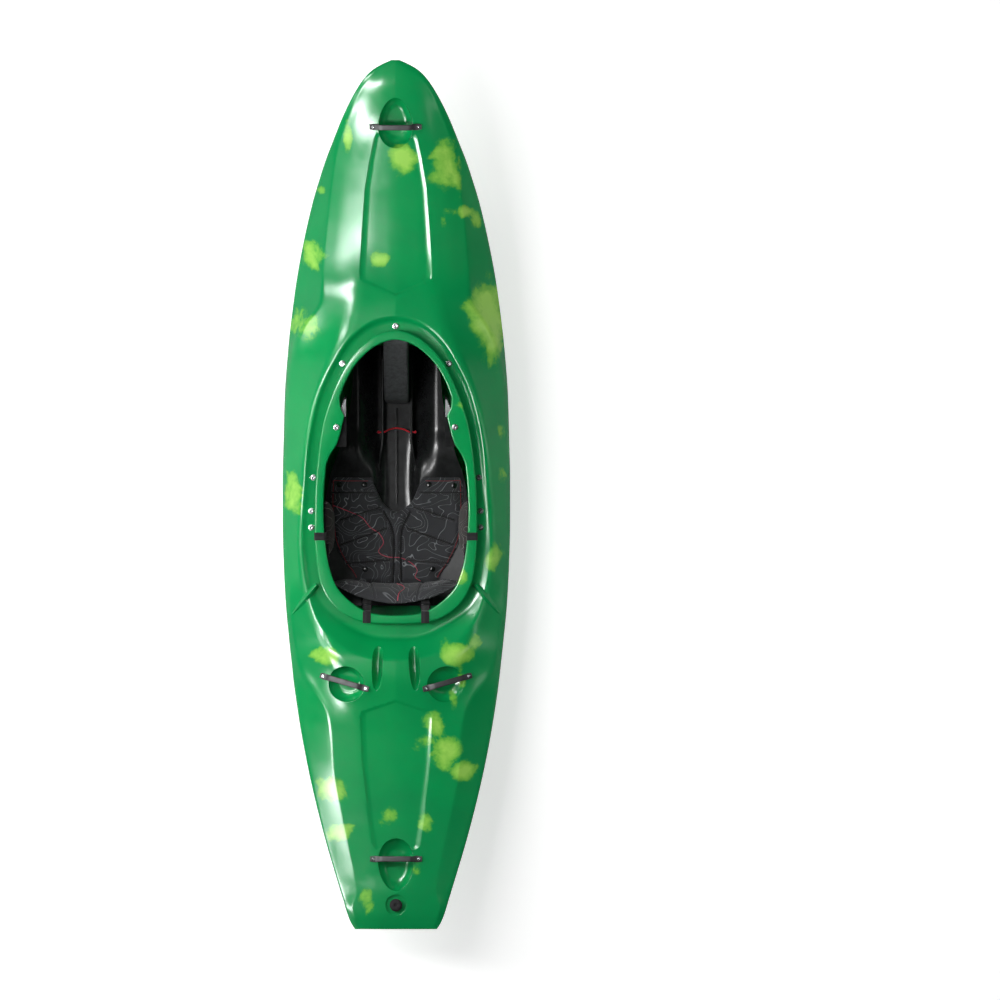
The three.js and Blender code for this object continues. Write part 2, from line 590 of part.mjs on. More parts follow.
// Raised fin that runs from the groove's crest down the side deck.
function finSolid(side) {
  const y = fin.station * halfLength;
  const inner = point(side * (fin.offset - fin.length / 2), y + fin.length / 2, 0);
  const outer = point(side * (fin.offset + fin.length / 2), y - fin.length / 2, 0);
  inner.z = skinHeight(inner.x, inner.y);
  outer.z = skinHeight(outer.x, outer.y);
  const middle = inner.clone().add(outer).multiplyScalar(1 / 2);
  const ahead = middle.clone().add(point(fin.length, side * fin.length, 0));
  return bowl(fin.length, fin.width, fin.height, frameOn(middle, outer, ahead));
}

// Shallow panel pressed into the deck, its floor parallel to the skin.
function pressedPanel(shares) {
  const block = slab(halfOutline(shares, 1), (y) => deckHeight(y) - wellDepth, (y) => deckHeight(y) + overrun);
  return block.subtract(hullLoft(outerStationShares, panelDepth, outerSteps));
}

// Drain: a collar sunk in a flat seat on the stern deck, closed by a screwed plug on a gasket.
const drainY = drain.station * halfLength;
const drainFrame = new THREE.Matrix4().makeTranslation(0, drainY, deckHeight(drainY) - drain.seatDepth);
const drainSeat = (grow) => cylinder(drain.seatRadius + grow, -grow, overrun, drainFrame, 2 * roundSegments);

// Bolts through the shell. Each seat is a flat spot, long where the bolt can shift in its slot.
const bolts = [];
const grooveBolt = (name, x, y) => (
  bolts.push({ name, frame: levelFrame(x * halfBeam, y * halfLength, troughHeight, bolt.headRadius), slot: 0 })
);
const sides = [[-1, 'left'], [1, 'right']];
grooveBolt('pillar_bolt', ...pillarBoltShares);
sides.forEach(([side, word]) => {
  grooveBolt(`${word}_front_bolt`, side * frontBoltShares[0], frontBoltShares[1]);
  grooveBolt(`${word}_side_bolt`, side * sideBoltShares[0], sideBoltShares[1]);
  hangerBoltShares.forEach(([x, y], i) => grooveBolt(`${word}_hanger_bolt_${i + 1}`, side * x, y));
  const [x, y] = thighBoltShares;
  const onRim = levelFrame(side * x * halfBeam, y * halfLength, rimHeight, bolt.headRadius);
  bolts.push({ name: `${word}_thigh_bolt`, frame: onRim, slot: bolt.slotTravel });
  railBoltShares.forEach(([y2, z2], i) => bolts.push({
    name: `${word}_rail_bolt_${i + 1}`,
    frame: sideFrame(side, y2 * halfLength, z2 * hullHeight, bolt.headRadius),
    slot: 0,
  }));
});

function boltSeat({ frame, slot }) {
  const spot = (dy) => cylinder(bolt.seatRadius, -bolt.seatDepth, bolt.seatClear, shifted(frame, 0, dy, 0));
  if (slot === 0) return spot(0);
  const middle = box(-bolt.seatRadius, bolt.seatRadius, -slot, slot, -bolt.seatDepth, bolt.seatClear, frame);
  return join([spot(-slot), spot(slot), middle]);
}
const boltHole = ({ frame }, grow = fitGap) => (
  cylinder(bolt.shankRadius + grow, -bolt.shankLength - grow, bolt.seatClear, frame)
);

// Bolt as a turned profile, its head's underside at z = 0.
function boltGeometry(size, segments = roundSegments) {
  const profile = [
    [0, -size.shankLength], [size.shankRadius, -size.shankLength], [size.shankRadius, 0], [size.headRadius, 0],
    [size.headRadius * 0.85, size.headHeight], [0, size.headHeight],
  ];
  const geometry = new THREE.LatheGeometry(profile.map(([r, h]) => new THREE.Vector2(r, h)), segments);
  return geometry.rotateX(Math.PI / 2);
}

// Grab handles: a bar on two feet that follow the deck.
function handleFrames() {
  const across = handle.length / 2 - handle.screwInset;
  const frames = [];
  const straight = (name, station) => {
    const y = station * halfLength;
    const ends = [-across, across].map((x) => point(x, y, skinHeight(x, y)));
    const ahead = point(0, y + across, skinHeight(0, y + across) - skinHeight(0, y) + ends[0].z);
    frames.push({ name, frame: frameOn(point(0, y, ends[0].z), ends[1], ahead) });
  };
  straight('bow_handle', bowHandleShare);
  sides.forEach(([side, word]) => {
    const y = sideHandle.station * halfLength;
    const dx = across * Math.cos(sideHandle.turn);
    const dy = side * across * Math.sin(sideHandle.turn);
    const spot = (t) => {
      const x = side * sideHandle.offset + t * dx;
      return point(x, y + t * dy, skinHeight(x, y + t * dy));
    };
    const [first, last] = [spot(-1), spot(1)];
    const middle = first.clone().add(last).multiplyScalar(1 / 2);
    const ahead = middle.clone().add(point(-dy, dx, 0));
    frames.push({ name: `${word}_rear_handle`, frame: frameOn(middle, last, ahead) });
  });
  straight('stern_handle', sternHandleShare);
  return frames;
}
const handles = handleFrames();
const handleScrewX = handle.length / 2 - handle.screwInset;

function handleBar(frame) {
  const end = handle.length / 2;
  const foot = handle.screwInset * 2;
  const side = new THREE.Shape([
    [-end, -handle.footDrop], [-end, handle.thickness], [-end + foot, handle.thickness],
    [-end + foot + handle.rise, handle.thickness + handle.rise], [end - foot - handle.rise, handle.thickness + handle.rise],
    [end - foot, handle.thickness], [end, handle.thickness], [end, -handle.footDrop], [end - foot, -handle.footDrop],
    [end - foot - handle.rise, handle.rise], [-end + foot + handle.rise, handle.rise], [-end + foot, -handle.footDrop],
  ].map(([x, z]) => new THREE.Vector2(x, z)));
  const geometry = new THREE.ExtrudeGeometry(side, {
    depth: handle.width - 2 * handle.bevel, bevelEnabled: true, bevelThickness: handle.bevel, bevelSize: 0,
    bevelSegments: 1,
  });
  geometry.translate(0, 0, handle.bevel - handle.width / 2);
  geometry.rotateX(Math.PI / 2);
  return placed(geometry, frame);
}
const handleScrewFrames = ({ name, frame }) => [-1, 1].map((end, i) => ({
  name: `${name}_screw_${i + 1}`, frame: shifted(frame, end * handleScrewX, 0, handle.thickness + fitGap),
}));
const screwHole = ({ frame }) => (
  cylinder(screw.shankRadius + fitGap, -screw.shankLength - fitGap, overrun, frame, screwSegments)
);

// The shell
const screwFrames = handles.flatMap(handleScrewFrames);
const rimBand = (grow) => {
  const lip = slab(grownOutline(lipOutline, grow), (y) => lipFoot(y) - grow, (y) => rimHeight(y) + grow);
  const foot = (y) => troughHeight(y) - hullWall / 2 - grow;
  const riser = slab(grownOutline(riserOutline, riserWall + grow), foot, (y) => lipFoot(y) + lipThickness / 2);
  const below = slab(grownOutline(riserOutline, -grow), (y) => troughHeight(y) - overrun - hullWall, (y) => lipFoot(y) - grow);
  const above = slab(grownOutline(hookedOutline, -grow), (y) => lipFoot(y) - overrun / 2, (y) => rimHeight(y) + overrun);
  return riser.add(lip).subtract(below).subtract(above);
};
const lipFoot = (y) => rimHeight(y) - lipThickness;
const lipOutline = halfOutline(lipShares, 2);
const riserOutline = halfOutline(riserShares, 1);
const hookedOutline = halfOutline(hookedShares, 1);
const mouth = slab(riserOutline, (y) => troughHeight(y) - overrun - hullWall, (y) => lipFoot(y));
const hookedMouth = slab(hookedOutline, (y) => lipFoot(y) - overrun / 2, (y) => rimHeight(y) + overrun);
const outside = join([hullLoft(outerStationShares, 0, outerSteps), finSolid(-1), finSolid(1)]).subtract(join([
  troughSolid(0), hollows(0), pressedPanel(bowPanelShares), pressedPanel(sternPanelShares), drainSeat(0),
]));
const inside = (inset) => (
  hullLoft(cavityStationShares, inset, cavitySteps).subtract(join([troughSolid(inset), hollows(inset), drainSeat(inset)]))
);
const shell = outside.subtract(inside(hullWall)).add(rimBand(0)).subtract(join([
  mouth, hookedMouth, cylinder(drain.boreRadius, -2 * hullWall, overrun, drainFrame, 2 * roundSegments), ...bolts.map(boltSeat),
  ...bolts.map((b) => boltHole(b)), ...screwFrames.map(screwHole),
]));
const room = inside(hullWall + fitGap);
const deckSkin = hullLoft(outerStationShares, -fitGap, outerSteps);

// Materials
const finishes = {
  shell: { color: 0x0e9b58, roughness: 0.38, metalness: 0 },
  blackPlastic: { color: 0x121314, roughness: 0.35, metalness: 0 },
  mattBlack: { color: 0x17181a, roughness: 0.7, metalness: 0 },
  steel: { color: 0xc9ccd0, roughness: 0.28, metalness: 1 },
  aluminium: { color: 0xb4b8bc, roughness: 0.4, metalness: 1 },
  foam: { color: 0x3c3d3f, roughness: 0.95, metalness: 0 },
  cloth: { color: 0x35373a, roughness: 0.95, metalness: 0 },
  webbing: { color: 0x1b1b1d, roughness: 0.9, metalness: 0 },
  rubber: { color: 0x0d0d0e, roughness: 0.6, metalness: 0 },
  redCord: { color: 0xd0142c, roughness: 0.8, metalness: 0 },
};

const kayak = new THREE.Group();
function addPart(name, geometry, finish, frame = new THREE.Matrix4()) {
  const mesh = new THREE.Mesh(geometry, new THREE.MeshStandardMaterial(finish));
  mesh.name = name;
  frame.decompose(mesh.position, mesh.quaternion, mesh.scale);
  kayak.add(mesh);
  return mesh;
}
const addBody = (name, body, finish) => addPart(name, geometryOf(body), finish);

addBody('hull_shell', shell, finishes.shell);

bolts.forEach(({ name, frame }) => (
  addPart(name, boltGeometry(bolt), finishes.steel, shifted(frame, 0, 0, fitGap - bolt.seatDepth))
));
handles.forEach((place) => {
  const bar = handleBar(place.frame).subtract(deckSkin).subtract(join(handleScrewFrames(place).map(screwHole)));
  addBody(place.name, bar, finishes.blackPlastic);
  handleScrewFrames(place).forEach(({ name, frame }) => addPart(name, boltGeometry(screw, screwSegments), finishes.steel, frame));
});

// Drain fittings, stacked on the floor of the seat.
function turned(rows, segments) {
  const geometry = new THREE.LatheGeometry(rows.map(([r, h]) => new THREE.Vector2(r, h)), segments);
  return geometry.rotateX(Math.PI / 2);
}
const collarTop = fitGap + drain.flangeHeight;
const gasketTop = collarTop + fitGap + drain.gasketHeight;
const capFoot = gasketTop + fitGap;
const collarRadius = drain.boreRadius - fitGap;
const neckRadius = drain.collarBore - 2 * fitGap;
addPart('drain_collar', turned([
  [drain.collarBore, -drain.collarLength], [collarRadius, -drain.collarLength], [collarRadius, fitGap],
  [drain.flangeRadius, fitGap], [drain.flangeRadius, collarTop], [drain.collarBore, collarTop],
  [drain.collarBore, -drain.collarLength],
], 2 * roundSegments), finishes.blackPlastic, drainFrame);
addPart('drain_gasket', turned([
  [drain.collarBore, collarTop + fitGap], [drain.flangeRadius - fitGap, collarTop + fitGap],
  [drain.flangeRadius - fitGap, gasketTop], [drain.collarBore, gasketTop], [drain.collarBore, collarTop + fitGap],
], 2 * roundSegments), finishes.rubber, drainFrame);
addPart('drain_plug', turned([
  [0, capFoot - drain.neckLength], [neckRadius, capFoot - drain.neckLength], [neckRadius, capFoot],
  [drain.capRadius, capFoot], [drain.capRadius, capFoot + drain.capHeight * 0.6],
  [drain.capRadius * 0.85, capFoot + drain.capHeight * 0.9], [drain.capRadius * 0.5, capFoot + drain.capHeight],
  [0, capFoot + drain.capHeight * 0.9],
], 2 * roundSegments), finishes.mattBlack, drainFrame);

// Closed sheet between two surfaces over the same grid of columns and rows.
function gridSolid(columns, rows, upper, lower) {
  const wide = columns.length;
  const deep = rows.length;
  const points = [upper, lower].flatMap((surface) => rows.flatMap((v) => columns.map((u) => surface(u, v))));
  const at = (layer, r, c) => layer * wide * deep + r * wide + c;
  const triangles = [];
  const quad = (a, b, c, d) => triangles.push([a, b, c], [a, c, d]);
  const turnedQuad = (a, b, c, d) => triangles.push([a, b, d], [b, c, d]);
  for (let r = 0; r < deep - 1; r += 1) {
    for (let c = 0; c < wide - 1; c += 1) {
      const left = c < (wide - 1) / 2;
      (left ? quad : turnedQuad)(at(0, r, c), at(0, r, c + 1), at(0, r + 1, c + 1), at(0, r + 1, c));
      (left ? turnedQuad : quad)(at(1, r, c + 1), at(1, r, c), at(1, r + 1, c), at(1, r + 1, c + 1));
    }
    quad(at(0, r, 0), at(0, r + 1, 0), at(1, r + 1, 0), at(1, r, 0));
    quad(at(0, r, wide - 1), at(1, r, wide - 1), at(1, r + 1, wide - 1), at(0, r + 1, wide - 1));
  }
  for (let c = 0; c < wide - 1; c += 1) {
    quad(at(0, 0, c), at(1, 0, c), at(1, 0, c + 1), at(0, 0, c + 1));
    quad(at(0, deep - 1, c), at(0, deep - 1, c + 1), at(1, deep - 1, c + 1), at(1, deep - 1, c));
  }
  return solid(closedGeometry(points.flat(), triangles));
}

// Bar between two x values whose top and bottom follow stations along the boat.
const strip = (x0, x1, stations, top, bottom) => gridSolid(
  [Math.min(x0, x1), Math.max(x0, x1)], stations,
  (x, s) => [x, s * halfLength, top(s)], (x, s) => [x, s * halfLength, bottom(s)],
);

// Seat
const smooth = THREE.MathUtils.smoothstep;
const floorHeight = (s) => hullHeight * along(keelShares, s) + hullWall;
function seatTop(x, s) {
  const side = Math.abs(x) / seatHalfWidth;
  const lobe = smooth(side, 0.15, 0.34) * smooth(-s, -0.16, -0.05);
  const flank = smooth(side, 0.22, 0.56) * smooth(s, 0.02, 0.14);
  const front = trayRise + lobeRise * lobe + flankRise * flank;
  const back = bowlRise + seatSideRise * smooth(side, 0.6, 0.98) + seatRearRise * smooth(-s, 0.17, 0.25);
  return floorHeight(s) + front + (back - front) * smooth(-s, -0.02, 0.08);
}
const lastColumn = seatColumnShares.length - 1;
const lastRow = seatRowShares.length - 1;
const atEdge = (u, s) => Math.abs(u) === 1 || s === seatRowShares[0] || s === seatRowShares[lastRow];
const seatX = (u, s, inset) => u * (seatHalfWidth * along(seatPlanShares, s) - inset);
function seatY(s, inset) {
  if (s === seatRowShares[0]) return s * halfLength - inset;
  return s === seatRowShares[lastRow] ? s * halfLength + inset : s * halfLength;
}
const seatSurface = (inset, lift) => (u, s) => {
  const x = seatX(u, s, inset);
  return [x, seatY(s, inset), atEdge(u, s) ? -overrun + lift : seatTop(seatX(u, s, 0), s) - inset + lift];
};
const seatBlock = (lift) => gridSolid(
  seatColumnShares, seatRowShares,
  (u, s) => [seatX(u, s, -lift), seatY(s, -lift), seatTop(seatX(u, s, 0), s) + lift],
  (u, s) => [seatX(u, s, -lift), seatY(s, -lift), -overrun],
);
const bandZ = (u, v) => bandFoot + bandHeight * v * (1 - 0.18 * u ** 4);
const bandBack = (u, v) => {
  const arc = 1 - u * u;
  return band.endStationShare * halfLength - band.bow * arc - v * (band.endLean + band.lean * arc) - band.edge - band.crown;
};
const pivotY = bandBack(band.bossShare, band.pivotShare) - band.plateGap - band.bossRadius;
const pivotZ = bandFoot + bandHeight * band.pivotShare;

function wingSolid(side) {
  const front = wingStationShares.front * halfLength;
  const back = wingStationShares.back * halfLength;
  const ear = pivotY - wing.earHeight / 2;
  const low = pivotZ - wing.earHeight / 2;
  const high = pivotZ + wing.earHeight / 2;
  const outline = new THREE.Shape([
    [front, 0], [front, rimHeight(front)], [back, rimHeight(back)], [back, high + wing.earHeight / 2], [ear, high],
    [ear, low], [back, low - wing.earHeight], [back, 0],
  ].map(([y, z]) => new THREE.Vector2(y, z)));
  const geometry = new THREE.ExtrudeGeometry(outline, { depth: wing.thickness, bevelEnabled: false });
  geometry.rotateX(Math.PI / 2).rotateZ(Math.PI / 2);
  geometry.translate(side > 0 ? wingInner : -wingInner - wing.thickness, 0, 0);
  const { flangeFront, flangeBack } = wingStationShares;
  const flange = strip(
    side * wingInner, side * (wingInner + wing.flangeReach), [flangeFront, (flangeFront + flangeBack) / 2, flangeBack],
    (s) => troughHeight(s * halfLength) + overrun,
    (s) => troughHeight(s * halfLength) - hullWall - wing.flangeThickness,
  );
  return solid(geometry).add(flange);
}
const acrossFrame = (x, y, z, side) => new THREE.Matrix4().makeTranslation(x, y, z)
  .multiply(new THREE.Matrix4().makeRotationY((side * Math.PI) / 2));
const pivotHole = (side) => cylinder(
  band.pinRadius + band.pinClear, -overrun, overrun, acrossFrame(side * wingInner, pivotY, pivotZ, side),
);
const ribBase = (s) => floorHeight(s) + trayRise - seatWall / 2;
const ribSolid = (side) => strip(
  side * (rib.offset - rib.thickness / 2), side * (rib.offset + rib.thickness / 2), ribStationShares,
  (s) => floorHeight(s) + rib.rise, ribBase,
);
const ridgeSolid = strip(
  -trayRidge.thickness / 2, trayRidge.thickness / 2, ridgeStationShares, (s) => floorHeight(s) + trayRidge.rise, ribBase,
);
const cordY = tieCord.stationShare * halfLength;
const cordZ = floorHeight(tieCord.stationShare) + rib.rise - tieCord.drop;
const cordHole = cylinder(
  tieCord.radius + tieCord.holeGap, -tieCord.reach, tieCord.reach, acrossFrame(0, cordY, cordZ, 1),
);
const seat = join([
  gridSolid(seatColumnShares, seatRowShares, seatSurface(0, 0), seatSurface(seatWall, -seatWall)),
  ribSolid(-1), ribSolid(1), ridgeSolid, wingSolid(-1), wingSolid(1),
]).intersect(room).subtract(join([...bolts.map((b) => boltHole(b)), pivotHole(-1), pivotHole(1), cordHole]));
addBody('seat_moulding', seat, finishes.blackPlastic);

// Seat pad: crowned, cut away over the tray, with sewn channels.
const padRim = (v) => Math.abs(2 * v - 1) ** 4;
function padTop(u, s) {
  const first = padRowShares[0];
  const v = (first - s) / (first - padRowShares[padRowShares.length - 1]);
  const x = u * padHalfWidth * along(padPlanShares, s);
  return seatTop(x, s) + fitGap + padEdge + padCrown * (1 - u ** 4) * (1 - padRim(v));
}
const padX = (u, s) => u * padHalfWidth * along(padPlanShares, s);
const padBlock = gridSolid(
  padColumnShares, padRowShares,
  (u, s) => [padX(u, s), s * halfLength, padTop(u, s)],
  (u, s) => [padX(u, s), s * halfLength, seatTop(padX(u, s), s) - padEdge],
);
// Groove pressed into a soft surface along straight runs between places on it.
function groove(places, surface) {
  const half = channelWidth / 2;
  const section = new THREE.Shape([[-half, 0], [0, -half], [half, 0], [0, half]].map(([x, z]) => new THREE.Vector2(x, z)));
  const path = places.slice(1).flatMap(([u1, v1], i) => {
    const [u0, v0] = places[i];
    return [0, 1 / 3, 2 / 3].map((t) => surface(u0 + (u1 - u0) * t, v0 + (v1 - v0) * t));
  });
  const curve = new THREE.CatmullRomCurve3([...path, surface(...places[places.length - 1])]);
  return solid(new THREE.ExtrudeGeometry(section, { extrudePath: curve, steps: path.length, bevelEnabled: false }));
}
const onPad = (across, s) => {
  const u = across / along(padPlanShares, s);
  return point(across * padHalfWidth, s * halfLength, padTop(Math.max(Math.min(u, 1), -1), s) + channelWidth * 0.1);
};
const channels = sides.flatMap(([side]) => (
  channelShares.map((places) => groove(places.map(([across, s]) => [side * across, s]), onPad))
));
const notch = slab(halfOutline(padNotchShares, 2), () => 0, () => hullHeight);
addBody('seat_pad', padBlock.subtract(seatBlock(fitGap)).subtract(notch).subtract(join(channels)), finishes.cloth);

// Hip pads on the inner faces of the wings.
function hipPadSolid(side) {
  const outer = wingInner - fitGap;
  const middle = (hipTop + hipFoot) / 2;
  const half = (hipTop - hipFoot) / 2;
  const place = (u, v, depth) => {
    const y = ((hipPad.frontShare + hipPad.backShare) / 2 + ((hipPad.frontShare - hipPad.backShare) / 2) * u) * halfLength;
    return [side * (outer - depth), y, middle + half * v * (1 - 0.12 * u * u)];
  };
  const depth = (u, v) => hipPad.edge + hipPad.crown * (1 - u ** 4) * (1 - v ** 4);
  return gridSolid(
    [-1, -0.85, -0.5, 0, 0.5, 0.85, 1], [-1, -0.8, -0.3, 0.3, 0.8, 1],
    (u, v) => place(u, v, depth(u, v)), (u, v) => place(u, v, 0),
  );
}
sides.forEach(([side, word]) => addBody(`${word}_hip_pad`, hipPadSolid(side), finishes.cloth));

// Backband: a curved pad on a thin plate that pivots on pins in the wings' ears.
const bandDepth = (u, v) => band.edge + band.crown * (1 - u ** 4) * (1 - padRim(v));
const bandSolid = gridSolid(
  bandColumnShares, bandRowShares,
  (u, v) => [u * bandHalfWidth, bandBack(u, v) + bandDepth(u, v), bandZ(u, v)],
  (u, v) => [u * bandHalfWidth, bandBack(u, v), bandZ(u, v)],
);
const onBand = (u, v) => (
  point(u * bandHalfWidth, bandBack(u, v) + bandDepth(u, Math.min(Math.max(v, 0), 1)) + channelWidth * 0.1, bandZ(u, v))
);
const bandSeams = [-1, 1].map((side) => groove([[side * 0.33, 1.02], [side * 0.44, -0.02]], onBand));
addBody('backband_pad', bandSolid.subtract(join(bandSeams)), finishes.cloth);
const plateFace = (u, v) => bandBack(u, v) - band.plateGap;
const bandPlate = join([
  gridSolid(
    bandColumnShares, plateRowShares,
    (u, v) => [u * bandHalfWidth, plateFace(u, v), bandZ(u, v)],
    (u, v) => [u * bandHalfWidth, plateFace(u, v) - band.plate, bandZ(u, v)],
  ),
  ...sides.flatMap(([side]) => {
    const frame = acrossFrame(side * bandHalfWidth, pivotY, pivotZ, side);
    const toWing = wingInner - bandHalfWidth;
    return [
      cylinder(band.bossRadius, -band.bossReach, band.bossReach, frame),
      cylinder(band.pinRadius, -band.bossReach, toWing + wing.thickness + fitGap, frame),
    ];
  }),
]);
addBody('backband_plate', bandPlate, finishes.mattBlack);

// Flat band along a path in a plane: points are [outwards, height], swept by its width.
function ribbon(path, thickness, width, toWorld) {
  const offset = (shift) => path.map(([x, z], i) => {
    const before = path[Math.max(i - 1, 0)];
    const after = path[Math.min(i + 1, path.length - 1)];
    const lead = new THREE.Vector2(x - before[0], z - before[1]).normalize();
    const trail = new THREE.Vector2(after[0] - x, after[1] - z).normalize();
    const run = lead.clone().add(trail).normalize();
    const scale = shift / Math.max(run.dot(i === 0 ? trail : lead), 0.5);
    return new THREE.Vector2(x - run.y * scale, z + run.x * scale);
  });
  const section = new THREE.Shape([...offset(thickness / 2), ...offset(-thickness / 2).reverse()]);
  const geometry = new THREE.ExtrudeGeometry(section, { depth: width, bevelEnabled: false });
  geometry.translate(0, 0, -width / 2);
  return placed(geometry, toWorld);
}
// Plane with its first axis outwards from the cockpit and its second up.
const outwardPlane = (origin, outward) => {
  const up = point(0, 0, 1);
  return new THREE.Matrix4().makeBasis(outward, up, point(0, 0, 0).crossVectors(outward, up)).setPosition(origin);
};
const webbingGap = fitGap + webbing.thickness / 2;
const rimClear = rimBand(fitGap);
const outlineX = (outline, y) => {
  const i = outline.findIndex((p) => p[1] <= y);
  const [a, b] = [outline[i - 1], outline[i]];
  return a[0] + ((b[0] - a[0]) * (y - a[1])) / (b[1] - a[1]);
};
const outlineY = (outline, x) => {
  const i = outline.length - 1 - [...outline].reverse().findIndex((p) => p[0] >= x);
  const [a, b] = [outline[i], outline[i + 1]];
  return a[1] + ((b[1] - a[1]) * (x - a[0])) / (b[0] - a[0]);
};

sides.forEach(([side, word]) => {
  // Side loop: hooks over the lip and hangs to the hip pad.
  const y = webbing.sideStationShare * halfLength;
  const half = webbing.width / 2;
  const inner = Math.min(outlineX(riserOutline, y - half), outlineX(riserOutline, y + half)) - webbingGap;
  const outer = Math.max(outlineX(lipOutline, y - half), outlineX(lipOutline, y + half)) + webbingGap;
  const top = rimHeight(y + half) + webbingGap;
  const under = lipFoot(y - half) - webbingGap;
  const loop = [
    [outer - webbing.returnLength, under], [outer, under], [outer, top], [inner, top], [inner, hipTop + fitGap],
  ];
  const strap = ribbon(loop, webbing.thickness, webbing.width, outwardPlane(point(0, y, 0), point(side, 0, 0)));
  addBody(`${word}_side_strap`, strap.subtract(rimClear), finishes.webbing);

  // Rear loop: hooks over the back of the lip, with a buckle, and runs to the backband's plate.
  const x = webbing.rearOffsetShare * halfBeam;
  const back = outlineY(lipOutline, x - half) - webbingGap;
  const front = outlineY(riserOutline, x + half) + webbingGap;
  const lip = rimHeight(back) + webbingGap;
  const u = (x - half) / bandHalfWidth;
  const end = [-(plateFace(u, 0.7) - band.plate - webbingGap), bandZ(u, 0.7)];
  const rearPath = [
    [-back - webbing.returnLength, lipFoot(back) - webbingGap], [-back, lipFoot(back) - webbingGap], [-back, lip],
    [-front, lip], [-front, lip - webbing.rearRise], end,
  ];
  const plane = outwardPlane(point(side * x, 0, 0), point(0, -1, 0));
  const middle = [(-front + end[0]) / 2, (lip - webbing.rearRise + end[1]) / 2];
  const tilt = Math.atan2(lip - webbing.rearRise - end[1], -front - end[0]);
  const buckleFrame = plane.clone().multiply(new THREE.Matrix4().makeTranslation(middle[0], middle[1], 0))
    .multiply(new THREE.Matrix4().makeRotationZ(tilt));
  const buckleBox = box(
    -buckle.length / 2, buckle.length / 2, -buckle.thickness / 2, buckle.thickness / 2, -buckle.width / 2,
    buckle.width / 2, buckleFrame,
  );
  const rear = ribbon(rearPath, webbing.thickness, webbing.width, plane).subtract(rimClear).add(buckleBox);
  addBody(`${word}_rear_strap`, rear, finishes.webbing);
});

// Ratchets on the wings, each pulling a ladder strap that holds the backband's end.
sides.forEach(([side, word]) => {
  const face = wingInner - fitGap;
  const front = ratchet.frontShare * halfLength;
  const back = front - ratchet.length;
  const low = ratchetRise - ratchet.height / 2;
  const high = ratchetRise + ratchet.height / 2;
  const open = face - ratchet.depth;
  const axleY = back + ratchet.bossRadius * 1.5;
  const axleX = open + ratchet.bossRadius * 0.7;
  const upright = (x, y, z) => new THREE.Matrix4().makeTranslation(x, y, z);
  const cheek = (z0) => box(side * open, side * face, back, front, z0, z0 + ratchet.cheek);
  const base = join([
    box(side * (face - ratchet.plate), side * face, back, front, low, high), cheek(low), cheek(high - ratchet.cheek),
    cylinder(ratchet.axleRadius, low + ratchet.cheek / 2, high - ratchet.cheek / 2, upright(side * axleX, axleY, 0), 8),
  ]);
  addBody(`${word}_ratchet_base`, base, finishes.blackPlastic);
  const leverLow = low + ratchet.cheek + fitGap;
  const leverHigh = high - ratchet.cheek - fitGap;
  const axle = upright(side * axleX, axleY, 0);
  const lever = cylinder(ratchet.bossRadius, leverLow, leverHigh, axle)
    .add(box(side * open, side * (open + ratchet.plate), axleY, front - fitGap, leverLow, leverHigh))
    .subtract(cylinder(ratchet.axleRadius + fitGap, low, high, axle, 8));
  addBody(`${word}_ratchet_lever`, lever, finishes.mattBlack);
  const run = face - ratchet.plate - fitGap - ladder.thickness / 2;
  const bandEnd = bandHalfWidth + fitGap + ladder.thickness / 2;
  const bandY = bandBack(1, 0.7);
  const plan = [[run, front - fitGap], [run, back], [bandEnd, bandY + band.crown / 2], [bandEnd, bandY - band.plate]];
  const flat = new THREE.Matrix4().makeBasis(point(side, 0, 0), point(0, 1, 0), point(0, 0, side))
    .setPosition(point(0, 0, ratchetRise));
  addBody(`${word}_ladder_strap`, ribbon(plan, ladder.thickness, ladder.width, flat), finishes.mattBlack);
});

